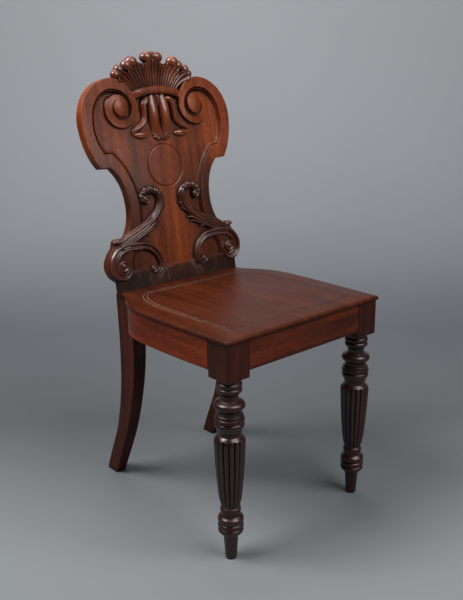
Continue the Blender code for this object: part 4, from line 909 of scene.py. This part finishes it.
def pendantHeights():
    field = newField(*pendant["field"], pendant["grid"])
    heights = np.full(field["x"].shape, relief["bare"])
    low = pendant["floor"]
    carve(field, heights, pendant["tendril"], roundSection, low)
    heights = scored(field, heights, pendant["tendril"][1:-1], *pendant["tendrilGroove"])
    carve(field, heights, pendant["lobe"], roundSection, low)
    carve(field, heights, pendant["bud"], roundSection, low)
    heights = scored(field, heights, pendant["budLine"], 1.0, pendant["budGroove"], steps=6)
    carve(field, heights, pendant["fold"], roundSection, low, ripple=pendant["foldRipple"])
    carve(field, heights, pendant["pleat"], ridgeSection, low)
    return field, softened(heights)


def buildPendant():
    half, heights = pendantHeights()
    first = int(round(-half["left"] / half["step"]))
    field, whole = bothSides({**half, "left": 0.0, "x": half["x"][:, first:], "y": half["y"][:, first:]},
                             heights[:, first:])
    points, faces = reliefPatch(field, whole, pendant["floor"])
    carving = newPiece("drooping_leaves", points, faces, "pendant", backPlace, ["pendant_leaf"])
    lighten(carving, "pendant", pendant["lightenShare"])


buildPendant()
print("stage: pendant ready")


# Front legs: square block, turned rings and sixteen reeds, on a round peg

frontLeg = {
    "x": 0.17473, "inset": 0.02925, "blockTop": 434.7, "blockBottom": 365.7, "block": 52.5,
    "blockArris": 0.8, "blockEndShare": 0.98, "reeds": 16, "sidesPerReed": 12, "reedPower": 0.55,
    "reedEnd": 1.8, "reedTop": 250.5, "reedBottom": 112.0, "reedDepth": 0.16,
    # height over the floor and diameter in mm, from the block down
    "rings": [
        (367, 40), (358.5, 41), (357.4, 44), (355.8, 46.5), (353.5, 47.6), (351, 46.8), (349.2, 44),
        (348.4, 40.8), (347.4, 43.6), (345.6, 46.4), (343.2, 47.2), (340.6, 45.8), (338.8, 42), (336.6, 37.4),
        (333, 34.2), (328, 33), (324.4, 34.4), (322.8, 39), (321.6, 46), (319.8, 52.5), (317, 56.8),
        (314, 58), (311.2, 57), (308.2, 52.6), (305.8, 46.6), (303.8, 43), (301, 41), (298.2, 41.8),
        (297, 46), (295.6, 50.2), (294, 51.6), (292.4, 50.6), (291.2, 47.4), (290.4, 49.4), (289.2, 54),
        (287, 56), (284.6, 55.4), (283, 51.6), (282.2, 48), (281.2, 51), (279, 54.2), (276.4, 54.8),
        (273.6, 53.8), (271, 50.8), (268, 48), (265, 46.6), (263.4, 45.6), (262.2, 43.4), (258.8, 42),
        (255.6, 43), (254.2, 46.4), (252.4, 49.6), (250.5, 53)
    ],
    # rows of the reeded part over its foot, close together where the reeds end
    "reedRows": (0.5, 1.1, 2.0, 3.4, 6.0, 12, 25, 40, 60, 80, 100, 118, 127, 132, 134.8, 136.6, 137.6, 138.2),
    "reedWidth": [(250.5, 53), (248, 57), (245, 58.6), (240, 58.8), (231, 57.8), (205, 55.6), (179, 52.9),
                   (159, 48.8), (134, 44.6), (121, 40.2), (115, 36.2), (112, 33.8)],
    "foot": [
        (112, 33.8), (110, 34.2), (108.6, 37), (106, 38.8), (103, 39.2), (100.4, 38.2), (98.4, 36),
        (95.6, 35), (93.4, 36.2), (91.4, 39.6), (89.6, 43), (88.4, 46.4), (86.4, 48.2), (83.4, 48.8),
        (80.4, 48.2), (78.4, 45.6), (77.4, 42), (76.4, 45.6), (74.4, 48.2), (72, 48.8), (69.6, 48.2),
        (67.6, 45.4), (66.8, 42), (65.8, 45.2), (63.8, 47.8), (61.2, 48.2), (58.8, 46.8), (57.2, 43.8),
        (55.4, 41.6), (53.4, 36.4), (51.2, 31.4), (49.4, 28.6), (47, 28), (30, 25.4), (4, 22.6), (1.4, 21.8),
        (0, 19.4)
    ],
}


def turnedLoop(height, radius, depth):
    # sharp-edged hollows between round reeds
    look = frontLeg
    loop = []
    sides = look["reeds"] * look["sidesPerReed"]
    for i in range(sides):
        angle = 2 * math.pi * i / sides
        hollow = 1 - abs(math.sin(angle * look["reeds"] / 2)) ** look["reedPower"]
        reach = radius * (1 - depth * hollow)
        loop.append((reach * math.cos(angle), reach * math.sin(angle), height))
    return loop


def legStages():
    # turned part from the foot up: height, radius and how deep the grooves between the reeds are
    look = frontLeg
    stages = [(height, size / 2, 0.0) for height, size in look["foot"][::-1]]
    for rise in look["reedRows"]:
        height = look["reedBottom"] + rise
        full = smoothStep(min(rise, look["reedTop"] - height), 0.0, look["reedEnd"])
        stages.append((height, readOff(height, look["reedWidth"][::-1]) / 2, look["reedDepth"] * float(full)))
    return stages + [(height, size / 2, 0.0) for height, size in look["rings"][::-1]]


def buildFrontLegs():
    look = frontLeg
    points, faces = stackLoops([turnedLoop(*stage) for stage in legStages()])
    turnedFaces = len(faces)
    half, eased = look["block"] / 2, look["blockArris"]
    corner = [(half, -half + eased), (half, half - eased), (half - eased, half), (-half + eased, half)]
    square = np.array(corner + [(-x, -y) for x, y in corner])
    bottom = look["blockBottom"]
    block = [np.column_stack([square * share, np.full(len(square), height)]) for share, height in (
        (look["blockEndShare"], bottom), (1.0, bottom + eased), (1.0, look["blockTop"]))]
    blockPoints, blockFaces = stackLoops(block)
    faces += [tuple(corner + len(points) for corner in face) for face in blockFaces]
    points = np.vstack([points, blockPoints])
    for side, name in ((-1, "left"), (1, "right")):
        place = Matrix.Translation((side * look["x"], frontY + look["inset"], 0)) @ Matrix.Scale(mm, 4)
        leg = newPiece("turned_leg_" + name, points, faces, "leg", place, ["front_leg_" + name])
        secondFinish(leg, "block", range(turnedFaces, len(leg.data.polygons)))


buildFrontLegs()
print("stage: front legs turned")


# Seat: thumbnail edge, and two lines scribed round the top with dried wax in them

seat = {
    "halfWidth": 209.0, "depth": 380.7, "plinthHalf": 160.05,
    # inset from the plan and height over the underside, in mm
    "edge": [
        (4, 0), (3.2, 0.3), (1.5, 1.2), (0.4, 2.6), (0, 4.2), (0, 5.2), (0.25, 6.5), (1, 7.9), (2.2, 9),
        (3.8, 9.75), (5.6, 10)
    ],
    "spacing": 8.0, "lineWidth": 1.5, "lineDepth": 0.8, "frontShare": 0.9, "frontSteps": 9, "rearStrip": 0.5,
    # section of a line: shares of its width and depth
    "groove": [(-0.5, 0), (-0.2, 1), (0.2, 1), (0.5, 0)],
}
seatSide = [(0.976, 0), (0.986, 0.158), (0.998, 0.394), (1, 0.578), (0.993, 0.688), (0.967, 0.767),
            (0.919, 0.835), (0.856, 0.89), (0.799, 0.935), (0.773, 0.967)]
scribedSide = [(0.77, 0.097), (0.78, 0.263), (0.792, 0.473), (0.794, 0.63), (0.785, 0.704), (0.751, 0.788),
               (0.679, 0.862), (0.565, 0.904)]


def onSeat(rows):
    return [(x * seat["halfWidth"], y * seat["depth"]) for x, y in rows]


def seatPlan(steps):
    return curve(onSeat(seatSide) + [(seat["plinthHalf"], seat["depth"])], steps)


def level(ring, height):
    return np.column_stack([ring, np.full(len(ring), height)])


def buildSeat():
    plan = mirroredLoop(seatPlan(5))
    frontShare, steps = seat["frontShare"], seat["frontSteps"]
    fronts = np.linspace(-frontShare, frontShare, steps) * plan[0][0]
    plan = np.vstack([plan, np.column_stack([fronts, np.zeros(steps)])])
    rear = plan[:, 1] > seat["depth"] - seat["rearStrip"]
    top = seat["edge"][-1][1]
    loops = []
    for distance, height in seat["edge"]:
        loop = insetLoop(plan, distance)
        loop[rear, 1] = seat["depth"] - (top - height) * math.tan(rake)
        loops.append(level(loop, height))
    points, faces = stackLoops(loops)
    faces.pop()

    # each line is a groove of four loops, and the panel is flat within the last
    panel = mirroredLoop(curve(onSeat(scribedSide), 6))
    count, inner, first = len(plan), len(panel), len(points)
    waxed = []
    for start in (0.0, seat["spacing"]):
        for index, (offset, drop) in enumerate(seat["groove"]):
            if index:
                waxed += range(len(faces), len(faces) + inner)
            if start or index:
                faces += bandFaces(len(points) - inner, len(points), inner)
            ring = insetLoop(panel, start + offset * seat["lineWidth"])
            points = np.vstack([points, level(ring, top - drop * seat["lineDepth"])])
    faces.append(tuple(range(len(points) - inner, len(points))))

    # flat margin between the moulded edge and the first line
    margin = points[first - count:first + inner, :2]

    def between(x, y):
        return insideLoop(x, y, margin[:count]) & ~insideLoop(x, y, margin[count:])

    _, sources, corners = fillBetween(margin, closedLimits(count) + closedLimits(inner, count), between)
    faces += [tuple(first - count + sources[corner][0] for corner in face) for face in corners]
    place = Matrix.Translation((0, frontY, seatLow.z)) @ Matrix.Scale(mm, 4)
    board = newPiece("moulded_seat", points, faces, "seat", place, ["seat_board"])
    secondFinish(board, "wax", waxed)


buildSeat()
print("stage: seat ready")


# Side rails, swept to the seat's curve, and rear legs, sawn to a sabre curve

frameTop, railBottom = 434.7, 379.0
framePlace = Matrix.Translation((0, frontY, 0)) @ Matrix.Scale(mm, 4)
sideRail = {
    "thickness": 20.0, "front": 55.5, "rear": 353.7, "rows": 40, "arris": 0.6,
    "flush": 1.5, "flushEnd": 130.0,  # set back by this much, mm, where it meets the leg block
}


def buildSideRails():
    look = sideRail
    outline = mirroredLoop(seatPlan(8))
    ys = np.linspace(look["front"], look["rear"], look["rows"])
    setBack = look["flush"] * (1 - smoothStep(ys, look["front"], look["flushEnd"]))
    outer = chair["seatOverhang"]
    loops = []
    for shrink, height in ((look["arris"], railBottom), (0.0, railBottom + look["arris"]), (0.0, frameTop)):
        runs = []
        for distance in (outer + shrink, outer + look["thickness"] - shrink):
            line = insetLoop(outline, distance)[:len(outline) // 2]
            runs.append(np.column_stack([np.interp(ys, line[:, 1], line[:, 0]) - setBack, ys]))
        loops.append(level(np.vstack([runs[0], runs[1][::-1]]), height))
    onEachSide("swept_rail", "side_rail", *stackLoops(loops), "sideRail", framePlace)


rearLeg = {
    "outer": 156.0, "width": 34.0, "footWidth": 24.0, "taperTop": 347.0,
    "front": 354.0, "run": 129.0, "arris": 1.4,
    # height, front and back edge as shares
    "sweep": [(1, 0, 0.426), (0.82, 0, 0.395), (0.69, 0.003, 0.395), (0.575, 0.043, 0.411),
              (0.476, 0.109, 0.45), (0.382, 0.186, 0.512), (0.265, 0.314, 0.62), (0.154, 0.473, 0.783),
              (0.069, 0.601, 0.907), (0, 0.705, 1)],
}


def buildRearLegs():
    look = rearLeg
    loops = []
    for share, front, rear in curve(look["sweep"], 5)[::-1]:
        height = share * frameTop
        near, far = look["front"] + front * look["run"], look["front"] + rear * look["run"]
        outer, arris = look["outer"], look["arris"]
        inner = outer - np.interp(height, (0, look["taperTop"]), (look["footWidth"], look["width"]))
        loops.append([(x, y, height) for x, y in (
            (inner + arris, near), (outer - arris, near), (outer, near + arris), (outer, far - arris),
            (outer - arris, far), (inner + arris, far), (inner, far - arris), (inner, near + arris))])
    onEachSide("sabre_leg", "rear_leg", *stackLoops(loops), "rearLeg", framePlace)


buildSideRails()
buildRearLegs()
print("stage: rails and rear legs ready")


# Crest: reeded fan of five lobes, rolled tips and an arched band at its foot

crest = {
    "originRise": 368.0, "footRise": 407.0, "footHalf": 55.0, "footFall": 6.0,
    "halfAngle": 59.0, "flare": 0.45,
    "lobes": [(0, 17.8, 102), (30.6, 12.8, 109), (51.2, 7.8, 116.6)], "dip": 0.90,
    "reeds": 21, "reedPoints": 10, "reedHeight": 4.2, "rows": 26, "reedPower": 0.55, "secondShare": 0.86,
    "front": -10.0, "back": -18.0, "lift": 5.5, "roll": 5.0, "rollShare": 0.55, "rollLength": 0.2,
    "footShare": 0.55, "endShare": 0.93, "endDrop": 0.5,
    "tipRings": 14, "tipSides": 24, "tipGrid": 0.8, "tipSmoothing": 5,
    # middle tip, then each side: x, y, z, half length, half height and half depth in mm, and turn in degrees
    "tips": [
        [
            (-12.5, 475, -5.2, 15.6, 11.8, 12.6, 8), (12.5, 475, -5.2, 15.6, 11.8, 12.6, -8),
            (0, 478, -6.4, 15, 9.8, 10.8, 0)
        ],
        [(53.5, 465, -4.4, 14, 12.4, 13.2, -4), (67, 457.4, -5.6, 12, 12, 12.2, -42)],
        [(85, 449, -6.4, 11, 12, 11.4, -34), (94, 440, -7.6, 10, 10.6, 10.2, -72)],
    ],
    "band": {"end": (66.0, 396.0), "middle": 407.0, "halfWidth": 8.6, "front": 4.6, "endFront": -2.0,
             "low": -17.5, "sinkStart": 44.0, "quarterFall": 0.25,
             # across as a share of the half width, and how far the section has risen
             "section": [(-1, 0), (-1, 0.8), (-0.93, 0.9), (-0.78, 0.96), (-0.4, 0.99), (0, 1), (0.4, 0.99),
                         (0.78, 0.96), (0.93, 0.9), (1, 0.8), (1, 0)]},
}


def crestReach(angle):
    dip = crest["dip"]
    reach = crest["lobes"][-1][2] * dip
    for middle, half, length in crest["lobes"]:
        offset = (abs(angle) - middle) / half
        if abs(offset) <= 1:
            reach = length * (dip + (1 - dip) * math.cos(offset * math.pi / 2))
    return reach


def crestLine(across, shares):
    angle = across * math.radians(crest["halfAngle"])
    foot = Vector((crest["footHalf"] * across, crest["footRise"] - crest["footFall"] * across ** 2))
    reach = crestReach(math.degrees(angle))
    tip = Vector((reach * math.sin(angle), crest["originRise"] + reach * math.cos(angle)))
    leave = angle * crest["flare"]
    bend = foot + Vector((math.sin(leave), math.cos(leave))) * (tip - foot).length * 0.5
    return [foot * (1 - t) ** 2 + bend * 2 * t * (1 - t) + tip * t ** 2 for t in shares]


def fanMesh():
    look = crest
    columns = look["reeds"] * look["reedPoints"]
    shares = np.linspace(0, 1, look["rows"])
    points = []
    for column in range(columns + 1):
        reed, place = divmod(column, look["reedPoints"])
        crown = math.sin(math.pi * place / look["reedPoints"]) ** look["reedPower"] * look["reedHeight"]
        if reed % 2:
            crown *= look["secondShare"]
        line = crestLine(2 * column / columns - 1, shares)
        points.append((line[0].x, line[0].y, look["back"]))
        for spot, share in zip(line, shares):
            depth = crown * (look["footShare"] + (1 - look["footShare"]) * share)
            depth *= 1 - look["endDrop"] * smoothStep(share, look["endShare"], 1.0)
            rolled = look["roll"] * max(share - look["rollShare"], 0) ** 2 / look["rollLength"]
            points.append((spot.x, spot.y, look["front"] + look["lift"] * share + rolled + depth))
        points.append((line[-1].x, line[-1].y, look["back"]))
    across = look["rows"] + 2
    faces = [tuple(reversed(range(across))), tuple(range(columns * across, (columns + 1) * across))]
    for column in range(columns):
        faces += [tuple(reversed(face)) for face in bandFaces((column + 1) * across, column * across, across)]
    return np.array(points), faces


def tipMesh(rows, side):
    points, faces = [], []
    rings, around = crest["tipRings"], crest["tipSides"]
    for x, y, z, length, height, depth, turn in rows:
        first = len(points)
        c, s = math.cos(math.radians(turn)), math.sin(math.radians(turn))
        for ring in range(1, rings):
            polar = math.pi * ring / rings
            for step in range(around):
                angle = 2 * math.pi * step / around
                u, v = length * math.cos(polar), height * math.sin(polar) * math.cos(angle)
                w = depth * math.sin(polar) * math.sin(angle)
                points.append((side * (x + u * c - v * s), y + u * s + v * c, z + w))
        ends = len(points)
        points += [(side * (x + way * length * c), y + way * length * s, z) for way in (1, -1)]
        for ring in range(rings - 2):
            faces += bandFaces(first + ring * around, first + (ring + 1) * around, around)
        last = first + (rings - 2) * around
        faces += [(ends, first + (step + 1) % around, first + step) for step in range(around)]
        faces += [(ends + 1, last + step, last + (step + 1) % around) for step in range(around)]
    return np.array(points), faces


def bandMesh():
    look = crest["band"]
    (x, y), middle = look["end"], look["middle"]
    quarter = middle - (middle - y) * look["quarterFall"]
    path = curve([(-x, y), (-x / 2, quarter), (0, middle), (x / 2, quarter), (x, y)], 10)
    loops = []
    for index, (x, y) in enumerate(path):
        ahead = path[min(index + 1, len(path) - 1)] - path[max(index - 1, 0)]
        ahead /= np.hypot(*ahead)
        sunk = smoothStep(abs(x), look["sinkStart"], look["end"][0])
        front = look["front"] + (look["endFront"] - look["front"]) * sunk
        loops.append([(x - ahead[1] * share * look["halfWidth"], y + ahead[0] * share * look["halfWidth"],
                       look["low"] + rise * (front - look["low"])) for share, rise in look["section"]])
    return stackLoops(loops)


def buildCrest():
    newPiece("shell_fan", *fanMesh(), "crest", backPlace, ["shell_crest"])
    for index, rows in enumerate(crest["tips"]):
        # the first tip is the middle one
        sides = ((1, "_right"), (-1, "_left")) if index else ((1, ""),)
        for side, ending in sides:
            points, faces = tipMesh(rows, side)
            tip = newPiece("rolled_tip_" + str(index) + ending, points * mm, faces, "crest")
            joined = tip.modifiers.new("joined", "REMESH")
            joined.mode = "VOXEL"
            joined.voxel_size = crest["tipGrid"] * mm
            softer = tip.modifiers.new("softer", "SMOOTH")
            softer.iterations = crest["tipSmoothing"]
            settled(tip, "crest")
            tip.data.transform(backPlace @ Matrix.Scale(1 / mm, 4))
    newPiece("arched_band", *bandMesh(), "band", backPlace)


buildCrest()
print("stage: crest ready")


# Pieces kept from the frame

easedEdge, easedAngle = 0.6, 50.0  # edges sharper than the angle in degrees are rubbed down this far, mm
nodeFinish = {
    "back_rail": "rail", "front_rail": "rail", "side_rail": "sideRail", "rear_leg": "rearLeg",
    "front_leg": "leg", "seat_board": "seat", "shell_crest": "crest", "pendant_leaf": "pendant",
    "scroll_carving": "carving", "seat_screw": "steel",
}
for nodeName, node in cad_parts.items():
    kind = next((kind for start, kind in nodeFinish.items() if nodeName.startswith(start)), "beech")
    node.data.materials.clear()
    node.data.materials.append(finishes[kind])
    if kind == "beech" or nodeName.endswith("_rail"):
        eased = node.modifiers.new("eased edges", "BEVEL")
        eased.width = easedEdge * mm
        eased.segments = 2
        eased.limit_method = "ANGLE"
        eased.angle_limit = math.radians(easedAngle)
print("stage: frame pieces finished")


# Studio

studio = {
    # colour of the paper, with painted shade and light: nearest the camera, painted shadow under the chair,
    # painted shade at the foot of the wall, and lighter up the wall
    "paper": [
        (0.0, "#727579"), (0.29, "#75797c"), (0.37, "#54585b"), (0.46, "#5d6165"), (0.62, "#92969b"),
        (1.0, "#cfcfd4")
    ],
    "mottle": 1 / 1.2, "unevenness": 0.25, "reach": (-2.5, 5.5), "paperRough": 0.9,
    "sweepStart": 1.5, "sweepRadius": 1.2, "sweepSteps": 12, "height": 4.5, "halfWidth": 5.0, "near": -5.0,
    "world": "#8d9093", "worldStrength": 0.09,
    # azimuth from +X and height above the floor in degrees, distance and size in m, power in W
    "lights": [(157, 54, 2.6, 1.3, 86), (-78, 47, 2.8, 1.8, 66), (55, 70, 2.6, 1.2, 16),
               (-58, 17, 2.8, 0.5, 4.2)],
    "aim": (0.0, 0.0, 0.45),
    "camera": (-1.0008, -1.1536, 0.8799), "yaw": -41.54, "pitch": 16.57, "roll": -0.64,
    "focal": 765.12, "frameHeight": 600.0, "sensor": 36.0,
}


def seamlessPaper(tree, spot, look):
    # Matt grey background paper: no shine, faint mottling, and painted shade where it leaves the light
    axes = addNode(tree, "ShaderNodeSeparateXYZ", {"Vector": spot["Object"]}).outputs
    mottle = addNode(tree, "ShaderNodeTexNoise", {
        "Vector": spot["Object"], "Scale": 1 / look["mottle"], "Detail": 2.0}).outputs["Fac"]
    away = addNode(tree, "ShaderNodeMath", {0: axes["Y"], 1: axes["Z"]}, operation="ADD").outputs[0]
    far = addNode(tree, "ShaderNodeMath", {0: mottle, 1: look["unevenness"], 2: away},
                  operation="MULTIPLY_ADD").outputs[0]
    share = addNode(tree, "ShaderNodeMapRange", {"Value": far, **fromTo(look["reach"])}).outputs["Result"]
    shade = addNode(tree, "ShaderNodeValToRGB", {"Fac": share}, look["paper"])
    return {"Base Color": shade.outputs["Color"], "Roughness": look["paperRough"]}


def buildStudio():
    # floor that curves up into the wall behind, square to the camera
    start, radius, wide = studio["sweepStart"], studio["sweepRadius"], studio["halfWidth"]
    profile = [(studio["near"], 0.0), (start, 0.0)]
    for step in range(1, studio["sweepSteps"] + 1):
        angle = step / studio["sweepSteps"] * math.pi / 2
        profile.append((start + radius * math.sin(angle), radius * (1 - math.cos(angle))))
    profile.append((start + radius, studio["height"]))
    points = [(side, distance, height) for distance, height in profile for side in (wide, -wide)]
    faces = [(row, row + 1, row + 3, row + 2) for row in range(0, len(points) - 2, 2)]
    finishes["paper"] = newMaterial("Matt grey paper", seamlessPaper, studio)
    paper = newPiece("studio_paper", points, faces, "paper")
    paper.rotation_euler.z = math.radians(studio["yaw"])
    for index, (azimuth, rise, distance, size, power) in enumerate(studio["lights"]):
        lamp = bpy.data.lights.new("softbox_" + str(index + 1), "AREA")
        lamp.shape = "SQUARE"
        lamp.size = size
        lamp.energy = power
        a, e = math.radians(azimuth), math.radians(rise)
        spot = Vector((math.cos(a) * math.cos(e), math.sin(a) * math.cos(e), math.sin(e)))
        holder = bpy.data.objects.new(lamp.name, lamp)
        holder.location = Vector(studio["aim"]) + spot * distance
        holder.rotation_euler = spot.to_track_quat("Z", "Y").to_euler()
        bpy.context.scene.collection.objects.link(holder)
    world = bpy.data.worlds.new("studio")
    world.use_nodes = True
    world.node_tree.nodes.clear()
    glow = addNode(world.node_tree, "ShaderNodeBackground", {
        "Color": linear(studio["world"]), "Strength": studio["worldStrength"]})
    addNode(world.node_tree, "ShaderNodeOutputWorld", {"Surface": glow.outputs["Background"]})
    bpy.context.scene.world = world


def buildCamera():
    yaw, pitch, roll = (math.radians(studio[key]) for key in ("yaw", "pitch", "roll"))
    behind = Vector((math.sin(yaw) * math.cos(pitch), -math.cos(yaw) * math.cos(pitch), math.sin(pitch)))
    right = Vector((math.cos(yaw), math.sin(yaw), 0))
    up = behind.cross(right)
    right, up = (math.cos(roll) * right + math.sin(roll) * up, math.cos(roll) * up - math.sin(roll) * right)
    lens = bpy.data.cameras.new("photo_camera")
    lens.sensor_width = studio["sensor"]
    lens.lens = studio["focal"] / studio["frameHeight"] * studio["sensor"]
    camera = bpy.data.objects.new("photo_camera", lens)
    place = Matrix((right, up, behind)).transposed().to_4x4()
    place.translation = studio["camera"]
    camera.matrix_world = place
    bpy.context.scene.collection.objects.link(camera)
    bpy.context.scene.camera = camera


buildStudio()
buildCamera()
bpy.context.scene.view_settings.view_transform = "Standard"


print("stage: studio ready")
